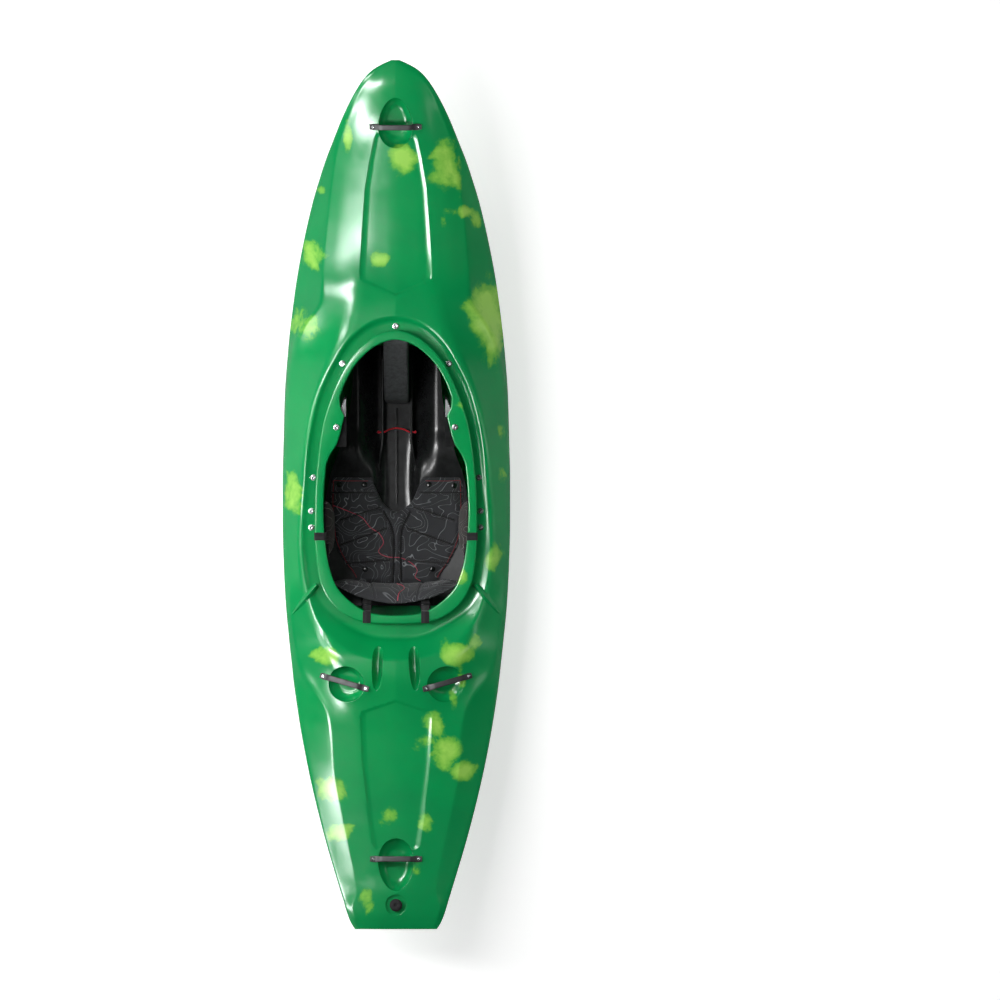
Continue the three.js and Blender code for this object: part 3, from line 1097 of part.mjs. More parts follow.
// Thigh braces hang under the hooks of the lip on a slotted bolt, with a foam pad below.
const braceY = brace.stationShare * halfLength;
const braceFrame = levelFrame(0, braceY, lipFoot, hullWall * 4);
const braceTop = -brace.hangGap - brace.boss;
sides.forEach(([side, word]) => {
  const corners = braceShares.map(([x, y]) => new THREE.Vector2(side * x * halfBeam, y * halfLength));
  const flatPlate = new THREE.ExtrudeGeometry(new THREE.Shape(corners), { depth: brace.plate, bevelEnabled: false });
  flatPlate.translate(0, 0, braceTop - brace.plate);
  const inner = braceShares[0][0] * halfBeam;
  const [aft, ahead] = [braceShares[0][1] * halfLength, braceShares[braceShares.length - 1][1] * halfLength];
  const boltX = thighBoltShares[0] * halfBeam;
  const onRimY = thighBoltShares[1] * halfLength;
  const boltY = point(0, onRimY, rimHeight(onRimY)).applyMatrix4(braceFrame.clone().invert()).y;
  const reach = bolt.slotTravel + brace.slotGap;
  const outer = braceShares[3][0] * halfBeam;
  const low = braceTop - brace.plate;
  const body = join([
    placed(flatPlate, braceFrame),
    box(side * inner, side * (inner + brace.plate), aft, ahead, low - brace.hook, low + brace.plate / 2, braceFrame),
    box(side * (2 * boltX - outer), side * outer, boltY - reach, boltY + brace.slotGap, low, -brace.hangGap, braceFrame),
  ]).subtract(box(
    side * (boltX - brace.slotGap), side * (boltX + brace.slotGap), boltY - reach, boltY + reach, low - overrun, overrun,
    braceFrame,
  ));
  addBody(`${word}_thigh_brace`, body, finishes.mattBlack);
  const padOuter = (v) => side * (braceShares[4][0] - 0.03 - 0.045 * v) * halfBeam;
  const padInner = side * (inner + brace.plate + fitGap);
  const pad = gridSolid(
    [0, 0.15, 0.5, 0.85, 1], [-1, -0.7, 0, 0.7, 1],
    (u, v) => [
      padInner + (padOuter(v) - padInner) * u, (aft + ahead) / 2 + ((ahead - aft) / 2 - brace.plate) * v, low - fitGap,
    ],
    (u, v) => [
      padInner + (padOuter(v) - padInner) * u, (aft + ahead) / 2 + ((ahead - aft) / 2 - brace.plate) * v,
      low - fitGap - brace.padThickness * (0.5 + 0.5 * (1 - padRim(u)) * (1 - v ** 4)),
    ],
  ).transform(braceFrame.elements);
  const boltClear = box(
    side * (boltX - 2 * brace.slotGap), side * (outer + brace.plate), boltY - 2 * reach, boltY + 2 * reach,
    low - 2 * overrun, overrun, braceFrame,
  );
  addBody(`${word}_thigh_pad`, pad.subtract(boltClear), finishes.foam);
});

// Foot rails bolted inside the hull, and a plate with a foam face that slides on each.
const footY = foot.stationShare * halfLength;
sides.forEach(([side, word]) => {
  const face = railOffset - rail.thickness / 2;
  const back = railOffset + rail.thickness / 2;
  const bar = box(
    side * face, side * back, rail.backShare * halfLength, rail.frontShare * halfLength, railRise - rail.height / 2,
    railRise + rail.height / 2,
  );
  const block = box(
    side * (back - 1e-3), side * halfBeam, rail.blockBackShare * halfLength, rail.blockFrontShare * halfLength,
    railRise - rail.blockHeight / 2, railRise + rail.blockHeight / 2,
  );
  const holes = join(bolts.map((b) => boltHole(b)));
  addBody(`${word}_foot_rail`, bar.add(block).intersect(room).subtract(holes), finishes.aluminium);

  const ahead = foot.travel;
  const close = inside(hullWall + foot.wallClear);
  const slice = (y0, y1, x0, x1) => (
    box(side * x0, side * x1, y0 + ahead, y1 + ahead, 0, hullHeight).intersect(close).translate([0, -ahead, 0])
  );
  const clampTop = railRise + rail.height / 2 + foot.clampGap;
  const clampFoot = railRise - rail.height / 2 - foot.clampGap;
  const clamp = box(
    side * (footOuter - foot.clampWall), side * (back - foot.clampGap), footY - foot.clampLength / 2,
    footY + foot.clampLength / 2, clampFoot - foot.clampWall, clampTop + foot.clampWall,
  ).subtract(box(
    side * (face - foot.clampGap), side * (back + overrun), footY - overrun, footY + overrun, clampFoot, clampTop,
  ));
  const plate = slice(footY, footY + foot.plate, foot.inner, footOuter).add(clamp);
  addBody(`${word}_foot_plate`, plate, finishes.aluminium);
  const padClear = join([clamp, box(
    side * (footOuter - foot.clampWall - fitGap), side * (back + overrun), footY - overrun * 2, footY + overrun,
    clampFoot - foot.clampWall - fitGap, clampTop + foot.clampWall + fitGap,
  )]);
  const footPad = slice(footY - foot.pad - fitGap, footY - fitGap, foot.inner + foot.plate, footOuter - foot.plate);
  addBody(`${word}_foot_pad`, footPad.subtract(padClear), finishes.foam);
});

// Foam pillars on the centre line; the bow pillar stands on the tray between the ribs.
function pillarSolid(halfWidth, outline) {
  const shape = new THREE.Shape(outline.map(([y, z]) => new THREE.Vector2(y * halfLength, z * hullHeight)));
  const geometry = new THREE.ExtrudeGeometry(shape, { depth: 2 * halfWidth, bevelEnabled: false });
  geometry.rotateX(Math.PI / 2).rotateZ(Math.PI / 2);
  geometry.translate(-halfWidth, 0, 0);
  return solid(geometry).intersect(room);
}
const bowFoam = pillarSolid(bowPillar.halfWidth, [
  [bowPillar.backShare, 0], ...bowPillarTopShares, [bowPillar.frontShare, 0],
]);
addBody('bow_pillar', bowFoam.subtract(seatBlock(fitGap)).subtract(boltHole(bolts[0])), finishes.foam);
const { frontShare: foamFront, backShare: foamBack } = sternPillar;
addBody('stern_pillar', pillarSolid(
  sternPillar.halfWidth, [[foamBack, 0], [foamFront, 0], [foamFront, 1], [foamBack, 1]],
), finishes.foam);

// Red cord through the ribs, knotted outside each.
const cordPath = new THREE.CatmullRomCurve3([
  [-1, 0], [-0.84, 0], [-0.68, 0], [-0.35, 0.75], [0, 1], [0.35, 0.75], [0.68, 0], [0.84, 0], [1, 0],
].map(([u, v]) => point(u * tieCord.reach, cordY + v * tieCord.bow, cordZ)));
const cordSection = new THREE.Shape(new THREE.EllipseCurve(0, 0, tieCord.radius, tieCord.radius).getPoints(8).slice(1));
const cordTube = solid(new THREE.ExtrudeGeometry(cordSection, { extrudePath: cordPath, steps: 14, bevelEnabled: false }));
const knots = [-1, 1].map((side) => (
  placed(new THREE.SphereGeometry(tieCord.knotRadius, 6, 4), new THREE.Matrix4().makeTranslation(side * tieCord.reach, cordY, cordZ))
));
addBody('tie_cord', join([cordTube, ...knots]), finishes.redCord);

console.log('hull triangles', shell.numTri(), 'litres', shell.volume() / 1e6, 'pieces', shell.decompose().length);

export default kayak;
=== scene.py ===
import bpy
import bmesh
import math
import numpy as np
from mathutils import Matrix, Vector
from mathutils.bvhtree import BVHTree


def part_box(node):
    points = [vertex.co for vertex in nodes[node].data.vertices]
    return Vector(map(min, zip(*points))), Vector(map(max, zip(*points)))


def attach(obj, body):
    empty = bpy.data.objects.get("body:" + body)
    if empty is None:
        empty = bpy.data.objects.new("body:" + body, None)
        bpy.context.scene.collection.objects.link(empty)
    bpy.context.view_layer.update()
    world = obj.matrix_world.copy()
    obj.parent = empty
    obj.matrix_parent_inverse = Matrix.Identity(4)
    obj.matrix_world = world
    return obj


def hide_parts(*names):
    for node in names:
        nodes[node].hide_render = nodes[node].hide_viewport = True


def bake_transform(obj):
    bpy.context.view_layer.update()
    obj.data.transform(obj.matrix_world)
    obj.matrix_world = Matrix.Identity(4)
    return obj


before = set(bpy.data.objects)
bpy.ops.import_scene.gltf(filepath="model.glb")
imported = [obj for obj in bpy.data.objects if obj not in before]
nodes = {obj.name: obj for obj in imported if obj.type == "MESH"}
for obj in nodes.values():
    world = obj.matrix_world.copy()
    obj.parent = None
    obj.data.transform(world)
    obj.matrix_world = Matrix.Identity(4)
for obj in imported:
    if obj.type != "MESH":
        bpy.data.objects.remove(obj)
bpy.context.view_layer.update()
halfLength, halfBeam, hullHeight = 1.35, 0.355, 0.447
sides = [(-1, "left"), (1, "right")]
up, down = Vector((0, 0, 1)), Vector((0, 0, -1))


def placed(name, data):
    made = bpy.data.objects.new(name, data)
    bpy.context.collection.objects.link(made)
    return made


# camera: straight above, the boat in the left half of the frame
camera = {"aim": (0.3242, -0.0125), "height": 25.0, "focal": 285.5, "sensor": 36, "farthest": 200}
lens = bpy.data.cameras.new("camera")
lens.lens, lens.sensor_width, lens.clip_end = camera["focal"], camera["sensor"], camera["farthest"]
viewer = placed("camera", lens)
viewer.location = (*camera["aim"], camera["height"])
bpy.context.scene.camera = viewer


# materials: cloth, foam and rubber are rougher than dullFrom and shine little
dullFrom, dullSpecular = 0.65, 0.15


def blank(name, color, roughness, metallic=0.0, sheen=0.0):
    material = bpy.data.materials.new(name)
    material.use_nodes = True
    tree = material.node_tree
    shader = tree.nodes["Principled BSDF"]
    for socket, value in (("Base Color", (*color, 1)), ("Roughness", roughness), ("Metallic", metallic),
                          ("Sheen Weight", sheen)):
        shader.inputs[socket].default_value = value
    if roughness > dullFrom:
        shader.inputs["Specular IOR Level"].default_value = dullSpecular
    place = tree.nodes.new("ShaderNodeTexCoord").outputs["Object"]
    return material, tree, shader, place


def feed(shader, socket, source):
    shader.id_data.links.new(source, shader.inputs[socket])


def node(tree, kind, links=(), **values):
    made = tree.nodes.new("ShaderNode" + kind)
    for key, value in values.items():
        if key in made.bl_rna.properties:
            setattr(made, key, value)
        else:
            made.inputs[key.replace("_", " ")].default_value = value
    for socket, source in links:
        tree.links.new(source, made.inputs[socket])
    return made


def noise(tree, place, scale, detail=3.0, rough=0.5, distort=0.0):
    made = node(tree, "TexNoise", [("Vector", place)], Scale=scale, Detail=detail, Roughness=rough,
                Distortion=distort)
    return made.outputs["Fac"]


# stops are positions with a grey each
def ramp(tree, source, stops):
    made = node(tree, "ValToRGB", [("Fac", source)])
    strip = made.color_ramp
    while len(strip.elements) < len(stops):
        strip.elements.new(0.5)
    for element, (at, value) in zip(strip.elements, stops):
        element.position = at
        element.color = (value, value, value, 1)
    return made.outputs["Color"]


def wired(made, sockets, values):
    for socket, value in zip(sockets, values):
        if isinstance(value, (int, float)):
            made.inputs[socket].default_value = value
        elif isinstance(value, tuple):
            made.inputs[socket].default_value = (*value, 1)
        else:
            made.id_data.links.new(value, made.inputs[socket])
    return made


def calc(tree, operation, first, second=0):
    return wired(node(tree, "Math", operation=operation), (0, 1), (first, second)).outputs[0]


def mix(tree, factor, first, second):
    return wired(node(tree, "Mix", data_type="RGBA"), (0, 6, 7), (factor, first, second)).outputs[2]


def wave(tree, place, scale, direction, distort=0.0):
    made = node(tree, "TexWave", [("Vector", place)], Scale=scale, Distortion=distort,
                bands_direction=direction)
    return made.outputs["Fac"]


def bump(tree, shader, height, strength, distance, edge=0.0):
    made = node(tree, "Bump", [("Height", height)], Strength=strength, Distance=distance)
    if edge:
        bevel = node(tree, "Bevel", Radius=edge)
        bevel.samples = 4
        tree.links.new(bevel.outputs[0], made.inputs["Normal"])
    feed(shader, "Normal", made.outputs[0])


def shades(color, *factors):
    return [tuple(c * factor for c in color) for factor in factors]


def hullPlastic(name, green, deep, lime, limeDeep):
    material, tree, shader, place = blank(name, green, 0.2)
    field = node(tree, "Attribute", attribute_name="lime").outputs["Fac"]
    for look, share in (((11, 3, 0.5, 0.8), 1.1), ((60, 5, 0.7, 0.3), 0.3)):
        edge = calc(tree, "SUBTRACT", noise(tree, place, *look), 0.5)
        field = calc(tree, "ADD", field, calc(tree, "MULTIPLY", edge, share))
    tint = ramp(tree, field, [(0.36, 0), (0.43, 0.2), (0.5, 0.78), (0.62, 1)])
    bright = ramp(tree, field, [(0.44, 0), (0.8, 1)])
    drift = ramp(tree, noise(tree, place, 2.6, 4, 0.5, 0.6), [(0.36, 0), (0.66, 1)])
    base, patch = mix(tree, drift, green, deep), mix(tree, bright, limeDeep, lime)
    feed(shader, "Base Color", mix(tree, tint, base, patch))
    feed(shader, "Roughness", ramp(tree, noise(tree, place, 17, 5, 0.65, 0.4), [(0.3, 0.17), (0.75, 0.25)]))
    bump(tree, shader, noise(tree, place, 520, 2, 0.5), 0.1, 0.0005, 0.0018)
    return material


def plastic(name, color, roughness, grainSize=700, edge=0.001, specular=None):
    material, tree, shader, place = blank(name, color, roughness)
    if specular is not None:
        shader.inputs["Specular IOR Level"].default_value = specular
    lighter = tuple(min(c * 1.5 + 0.004, 1) for c in color)
    feed(shader, "Base Color", mix(tree, ramp(tree, noise(tree, place, 30, 4, 0.6), [(0.35, 0), (0.7, 1)]),
                                   color, lighter))
    worn = [(0.3, roughness * 0.8), (0.7, min(roughness * 1.25, 1))]
    feed(shader, "Roughness", ramp(tree, noise(tree, place, 22, 5, 0.6), worn))
    bump(tree, shader, noise(tree, place, grainSize, 2), 0.15, 0.0004, edge)
    return material


# the seat is duller at the hips than in front of them
def seatPlastic(name, color, roughness, dullness):
    material = plastic(name, color, roughness, 600, 0.0012, 0.3)
    tree = material.node_tree
    place = node(tree, "SeparateXYZ", [("Vector", tree.nodes["Texture Coordinate"].outputs["Object"])])
    behind = calc(tree, "LESS_THAN", place.outputs["Y"], -0.05)
    hips = calc(tree, "MULTIPLY", calc(tree, "ABSOLUTE", place.outputs["X"]), behind)
    feed(tree.nodes["Principled BSDF"], "Roughness", ramp(tree, hips, [(0.11, roughness), (0.15, dullness)]))
    return material


def metal(name, color, roughness, edge=0.0006):
    material, tree, shader, place = blank(name, color, roughness, 1.0)
    stretched = node(tree, "Mapping", [("Vector", place)], Scale=(900, 900, 60)).outputs[0]
    worn = [(0.3, roughness * 0.75), (0.7, roughness * 1.4)]
    feed(shader, "Roughness", ramp(tree, noise(tree, place, 60, 4, 0.6), worn))
    bump(tree, shader, noise(tree, stretched, 1, 2), 0.1, 0.0002, edge)
    return material


def foam(name, color, cell=420, edge=0.002):
    material, tree, shader, place = blank(name, color, 0.93)
    cells = node(tree, "TexVoronoi", [("Vector", place)], Scale=cell).outputs["Distance"]
    cloud = ramp(tree, noise(tree, place, 90, 4, 0.7), [(0.3, 0), (0.7, 1)])
    feed(shader, "Base Color", mix(tree, cloud, *shades(color, 0.75, 1.3)))
    bump(tree, shader, cells, 0.35, 0.0012, edge)
    return material


# woven cloth with contour lines of a noise field
def contourCloth(name, color, line, spread=8.5, rows=17.0):
    material, tree, shader, place = blank(name, color, 0.9, sheen=0.12)
    bands = calc(tree, "FRACT", calc(tree, "MULTIPLY", noise(tree, place, spread, 2.0, 0.42, 0.5), rows))
    near = calc(tree, "ABSOLUTE", calc(tree, "SUBTRACT", bands, 0.5))
    fade = ramp(tree, noise(tree, place, 13, 2), [(0.36, 0.35), (0.58, 1)])
    lines = calc(tree, "MULTIPLY", ramp(tree, near, [(0.02, 1), (0.055, 0)]), fade)
    cloth = calc(tree, "MULTIPLY", wave(tree, place, 210, "X", 0.6), wave(tree, place, 210, "Y", 0.6))
    feed(shader, "Base Color", mix(tree, lines, mix(tree, cloth, *shades(color, 0.78, 1.2)), line))
    bump(tree, shader, cloth, 0.3, 0.0006, 0.0012)
    return material


def webbingCloth(name, color, light):
    material, tree, shader, _ = blank(name, color, 0.82, sheen=0.15)
    flat = tree.nodes["Texture Coordinate"].outputs["UV"]
    ribs = calc(tree, "MULTIPLY", wave(tree, flat, 2.2, "X"), wave(tree, flat, 160, "Y"))
    feed(shader, "Base Color", mix(tree, ribs, color, light))
    bump(tree, shader, ribs, 0.4, 0.0008)
    return material


def braid(name, color, dark):
    material, tree, shader, place = blank(name, color, 0.7, sheen=0.2)
    twist = wave(tree, place, 160, "DIAGONAL", 1.5)
    feed(shader, "Base Color", mix(tree, twist, dark, color))
    bump(tree, shader, twist, 0.6, 0.0008)
    return material


greenHull = hullPlastic("marbled green hull", (0.0012, 0.3, 0.074), (0.001, 0.25, 0.067), (0.33, 0.66, 0.1),
                        (0.11, 0.44, 0.04))
glossBlack = plastic("glossy black plastic", (0.008, 0.0085, 0.009), 0.22, 600, 0.0012)
mattBlack = plastic("matt black plastic", (0.014, 0.0145, 0.016), 0.55, 900, 0.0008)
seatBlack = seatPlastic("black seat plastic", (0.008, 0.0085, 0.009), 0.25, 0.62)
# thigh braces: black plastic painted darker than the other matt black, as painted shade from the rim above
# them, and made duller
braceBlackWithPaintedShade = plastic("black brace plastic with painted shade", (0.005, 0.0052, 0.0056), 0.8, 900, 0.0008, 0.08)
rubberBlack = plastic("black rubber", (0.01, 0.01, 0.011), 0.7, 1100, 0.0005)
steelBright = metal("bright steel", (0.66, 0.67, 0.69), 0.24)
aluminiumSatin = metal("satin aluminium", (0.5, 0.51, 0.53), 0.38)
foamGrey = foam("dark grey foam", (0.055, 0.057, 0.06))
foamBlack = foam("black foam", (0.009, 0.009, 0.01), 520)
hookGrey = foam("grey hook tape", (0.36, 0.37, 0.38), 900, 0.0008)
seatCloth = contourCloth("seat cloth with contour lines", (0.036, 0.037, 0.041), (0.21, 0.22, 0.23))
hipCloth = contourCloth("hip cloth with contour lines", (0.05, 0.046, 0.044), (0.27, 0.25, 0.24), 10)
strapCloth = webbingCloth("black webbing", (0.006, 0.006, 0.0065), (0.024, 0.024, 0.027))
# black for the pad's seam cords: the seam's own dark, deepened as painted shade of the channels
seamAndGrooveShadeBlack = braid("black seam with painted groove shade", (0.006, 0.006, 0.007), (0.003, 0.003, 0.003))
threadGrey = braid("grey thread", (0.16, 0.16, 0.17), (0.08, 0.08, 0.085))
pipingRed = braid("dark red piping", (0.26, 0.014, 0.026), (0.11, 0.007, 0.012))
threadPink = braid("pink thread", (0.62, 0.07, 0.12), (0.4, 0.03, 0.06))
cordRed = braid("red cord", (0.9, 0.02, 0.04), (0.62, 0.012, 0.025))
print("materials made")


# shapes
def smoothstep(value, low, high):
    t = np.clip((value - low) / (high - low), 0, 1)
    return t * t * (3 - 2 * t)


def evenly(steps):
    return [k / steps for k in range(steps + 1)]


# points of a curve from start to end that is drawn towards the corner between them
def bend(start, corner, end, shares):
    return [(1 - t) ** 2 * start + 2 * t * (1 - t) * corner + t * t * end for t in shares]


# sheet of quads through rows of points; closed joins each row's ends, caps close the first and last row
def loft(rows, closed=True, caps=True):
    rows = np.asarray(rows, dtype=float)
    count = rows.shape[1]
    wide = count if closed else count - 1
    deep = rows.shape[0] - 1
    bm = bmesh.new()
    bmesh.ops.create_grid(bm, x_segments=wide, y_segments=deep, size=0.5)
    flat = bm.loops.layers.uv.new("UVMap")
    for face in bm.faces:
        for loop in face.loops:
            loop[flat].uv = (loop.vert.co.x + 0.5, loop.vert.co.y + 0.5)
    for vert in bm.verts:
        vert.co = rows[round((vert.co.y + 0.5) * deep), round((vert.co.x + 0.5) * wide) % count]
    bmesh.ops.remove_doubles(bm, verts=bm.verts, dist=2e-6)
    bmesh.ops.dissolve_degenerate(bm, edges=bm.edges, dist=1e-7)
    edges = [e for e in bm.edges if e.is_boundary]
    if caps and edges:
        bmesh.ops.holes_fill(bm, edges=edges, sides=0)
    bmesh.ops.recalc_face_normals(bm, faces=bm.faces)
    return bm


def moved(bm, matrix):
    bmesh.ops.transform(bm, matrix=matrix, verts=bm.verts)
    return bm


def meshOf(name, bm):
    mesh = bpy.data.meshes.new(name)
    bm.to_mesh(mesh)
    bm.free()
    return mesh


# material and body of a piece and the node it stands for, which is hidden; its slot and how full it is padded
# are not used
def dress(made, material, body="boat", finish=None, crease=35, stands=None, fill=None):
    made.data.shade_smooth()
    made.data.set_sharp_from_angle(angle=math.radians(crease))
    made.data.materials.clear()
    made.data.materials.append(material)
    if body:
        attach(made, body)
    if stands:
        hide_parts(stands)
    return made


def piece(name, bm, *looks):
    return dress(placed(name, meshOf(name, bm)), *looks)


def tool(name, bm):
    bmesh.ops.triangulate(bm, faces=[f for f in bm.faces if len(f.verts) > 4])
    return placed(name, meshOf(name, bm))


def baked(made):
    graph = bpy.context.evaluated_depsgraph_get()
    made.data = bpy.data.meshes.new_from_object(made.evaluated_get(graph))
    made.modifiers.clear()


def shaped(made, kind, **values):
    modifier = made.modifiers.new(kind.lower(), kind)
    for key, value in values.items():
        setattr(modifier, key, value)
    baked(made)


def carve(target, cutter, operation="DIFFERENCE"):
    before = len(target.data.polygons)
    shaped(target, "BOOLEAN", operation=operation, solver="MANIFOLD", object=cutter)
    print("carved", cutter.name, before, "->", len(target.data.polygons))
    bpy.data.objects.remove(cutter)


# lines of the hull: station (1 bow, -1 stern), then shares of half the beam or of the height
hullLines = {
    "beam": [
        (1, 0.04), (0.994, 0.112), (0.983, 0.195), (0.956, 0.294), (0.912, 0.4), (0.866, 0.487),
        (0.82, 0.558),
        (0.774, 0.628), (0.728, 0.685), (0.682, 0.738), (0.589, 0.82), (0.497, 0.885), (0.405, 0.93),
        (0.313, 0.961),
        (0.22, 0.983), (0.128, 0.992), (0.036, 1), (-0.057, 1), (-0.149, 0.992), (-0.241, 0.975),
        (-0.333, 0.946),
        (-0.426, 0.913), (-0.518, 0.865), (-0.61, 0.803), (-0.702, 0.727), (-0.795, 0.637), (-0.887, 0.535),
        (-0.933, 0.482), (-0.979, 0.42), (-0.992, 0.4), (-1, 0.37)],
    "keel": [
        (1, 0.957), (0.954, 0.826), (0.908, 0.723), (0.863, 0.626), (0.817, 0.544), (0.771, 0.468),
        (0.68, 0.336),
        (0.588, 0.224), (0.497, 0.141), (0.405, 0.087), (0.314, 0.045), (0.222, 0.016), (0.13, 0), (-0.13, 0),
        (-0.236, 0.022), (-0.327, 0.058), (-0.419, 0.107), (-0.51, 0.177), (-0.602, 0.253), (-0.693, 0.336),
        (-0.785, 0.418), (-0.876, 0.501), (-0.968, 0.584), (-1, 0.628)],
    "sheer": [
        (1, 0.975), (0.966, 0.957), (0.879, 0.819), (0.792, 0.716), (0.678, 0.597), (0.542, 0.521),
        (0.476, 0.481),
        (0.348, 0.432), (0.268, 0.409), (0.107, 0.398), (-0.03, 0.391), (-0.158, 0.398), (-0.302, 0.414),
        (-0.418, 0.434), (-0.554, 0.468), (-0.689, 0.515), (-0.802, 0.557), (-0.893, 0.597), (-0.982, 0.626),
        (-1, 0.636)],
    "deck": [
        (1, 1), (0.954, 0.991), (0.908, 0.951), (0.863, 0.915), (0.817, 0.895), (0.725, 0.868),
        (0.634, 0.848),
        (0.542, 0.832), (0.497, 0.839), (0.451, 0.861), (0.405, 0.868), (0.359, 0.866), (0.3, 0.85),
        (0.204, 0.801),
        (0.13, 0.754), (0.018, 0.676), (-0.062, 0.62), (-0.142, 0.593), (-0.222, 0.586), (-0.249, 0.593),
        (-0.3, 0.62),
        (-0.327, 0.647), (-0.373, 0.709), (-0.419, 0.716), (-0.465, 0.687), (-0.51, 0.66), (-0.556, 0.64),
        (-0.602, 0.633), (-0.693, 0.626), (-0.785, 0.633), (-0.876, 0.647), (-0.922, 0.665), (-0.968, 0.665),
        (-1, 0.645)],
    "rim": [
        (0.384, 0.922), (0.359, 0.922), (0.3, 0.908), (0.204, 0.861), (0.13, 0.812), (0.018, 0.741),
        (-0.062, 0.691),
        (-0.142, 0.66), (-0.222, 0.653), (-0.3, 0.651)],
    "chine": [
        (1, 0.6, 0.2), (0.8, 0.6, 0.15), (0.466, 0.62, 0.14), (0.348, 0.65, 0.157), (0.2, 0.67, 0.185),
        (0, 0.68, 0.19), (-0.222, 0.68, 0.19), (-0.373, 0.68, 0.18), (-0.7, 0.7, 0.16), (-1, 0.75, 0.3)],
    "crease": [
        (1, 0.8, 0.6), (0.9, 0.85, 0.42), (0.82, 0.86, 0.42), (0.76, 0.82, 0.52), (0.684, 0.774, 0.616),
        (0.592, 0.741, 0.654), (0.516, 0.72, 0.664), (0.451, 0.704, 0.7), (0.409, 0.815, 0.578),
        (0.37, 0.9, 0.43),
        (0.307, 0.95, 0.29), (0.25, 0.965, 0.25), (0, 0.967, 0.3), (-0.25, 0.965, 0.3), (-0.36, 0.94, 0.24),
        (-0.4, 0.9, 0.3), (-0.45, 0.78, 0.58), (-0.497, 0.68, 0.8), (-0.54, 0.669, 0.85), (-0.654, 0.7, 0.8),
        (-0.751, 0.68, 0.78), (-0.857, 0.66, 0.8), (-0.919, 0.68, 0.73), (-0.949, 0.85, 0.7),
        (-1, 0.85, 0.6)],
    "shoulder": [
        (1, 0.4, 0.93), (0.829, 0.318, 0.96), (0.776, 0.35, 0.96), (0.707, 0.37, 0.96), (0.61, 0.36, 0.96),
        (0.516, 0.354, 0.96), (0.405, 0.43, 0.97), (0.356, 0.5, 0.99), (0.306, 0.585, 1), (0.25, 0.672, 1),
        (0.19, 0.735, 1), (0.114, 0.78, 1), (0.038, 0.8, 1), (-0.038, 0.825, 1), (-0.103, 0.838, 1),
        (-0.179, 0.82, 1),
        (-0.239, 0.78, 1), (-0.285, 0.725, 1), (-0.333, 0.65, 1), (-0.38, 0.56, 0.97), (-0.426, 0.48, 0.95),
        (-0.472, 0.417, 0.94), (-0.506, 0.356, 0.95), (-0.61, 0.361, 0.96), (-0.751, 0.343, 0.96),
        (-0.9, 0.32, 0.96),
        (-1, 0.4, 0.93)],
    "flat": [(1, 0.2), (0.5, 0.24), (0.15, 0.37), (-0.2, 0.37), (-0.6, 0.34), (-1, 0.4)],
}
lineStations = np.linspace(-1, 1, 1601)


# smooth reading of a table: a monotone curve through its rows, then a light blur along the boat
def faired(rows, column=1, blur=0.011):
    rows = sorted(rows)
    at = np.array([r[0] for r in rows])
    value = np.array([r[column] for r in rows])
    step = np.diff(at)
    slope = np.diff(value) / step
    tangent = np.concatenate([[slope[0]], np.zeros(len(at) - 2), [slope[-1]]])
    same = slope[:-1] * slope[1:] > 0
    tangent[1:-1][same] = 2 * slope[:-1][same] * slope[1:][same] / (slope[:-1][same] + slope[1:][same])
    s = np.clip(lineStations, at[0], at[-1])
    i = np.clip(np.searchsorted(at, s, side="right") - 1, 0, len(at) - 2)
    t = (s - at[i]) / step[i]
    curve = ((2 * t**3 - 3 * t**2 + 1) * value[i] + (t**3 - 2 * t**2 + t) * step[i] * tangent[i]
             + (3 * t**2 - 2 * t**3) * value[i + 1] + (t**3 - t**2) * step[i] * tangent[i + 1])
    reach = int(3 * blur / (lineStations[1] - lineStations[0]))
    kernel = np.exp(-0.5 * (np.arange(-reach, reach + 1) / (reach / 3)) ** 2)
    padded = np.concatenate([2 * curve[0] - curve[reach:0:-1], curve,
                             2 * curve[-1] - curve[-2:-reach - 2:-1]])
    return np.convolve(padded, kernel / kernel.sum(), mode="valid")


hullCurves = {}
for lineName, rows in hullLines.items():
    for column in range(1, len(rows[0])):
        hullCurves[lineName, column] = faired(rows, column)


def along(lineName, station, column=1):
    return float(np.interp(station, lineStations, hullCurves[lineName, column]))


def rimHeight(y):
    return hullHeight * along("rim", y / halfLength)


def deckHeight(y):
    return hullHeight * along("deck", y / halfLength)


# share: fuller than the solid; bulge of the facets before the cockpit; thickness; depth of the groove
hullSkin = {"fullness": 1.014, "facetBulge": 0.0065, "wall": 0.005, "troughDrop": 0.04}


def troughHeight(y):
    return rimHeight(y) - hullSkin["troughDrop"]


# corners of half a section from the keel to the deck: across, up, rounding
def sectionCorners(station):
    beam = hullSkin["fullness"] * halfBeam * along("beam", station)
    keel, sheer, deck = (hullHeight * along(line, station) for line in ("keel", "sheer", "deck"))
    away = float(smoothstep(abs(station), 0.4, 0.52))
    ahead = float(smoothstep(station, 0.42, 0.58) * (1 - smoothstep(station, 0.86, 0.97)))
    crease, shoulder = ((beam * along(line, station), sheer + (deck - sheer) * along(line, station, 2))
                        for line in ("crease", "shoulder"))
    slope = math.hypot(crease[0] - shoulder[0], crease[1] - shoulder[1])
    bulge = hullSkin["facetBulge"] * ahead / slope
    facet = ((crease[0] + shoulder[0]) / 2 + (shoulder[1] - crease[1]) * bulge,
             (crease[1] + shoulder[1]) / 2 + (crease[0] - shoulder[0]) * bulge)
    return [
        (0, keel, 0), (beam * along("flat", station), keel, 0.045),
        (beam * along("chine", station), keel + (sheer - keel) * along("chine", station, 2), 0.045),
        (beam, sheer, 0.02), (*crease, 0.016 - 0.011 * away), (*facet, 0.06),
        (*shoulder, 0.026 + 0.01 * away), (0, deck, 0)]


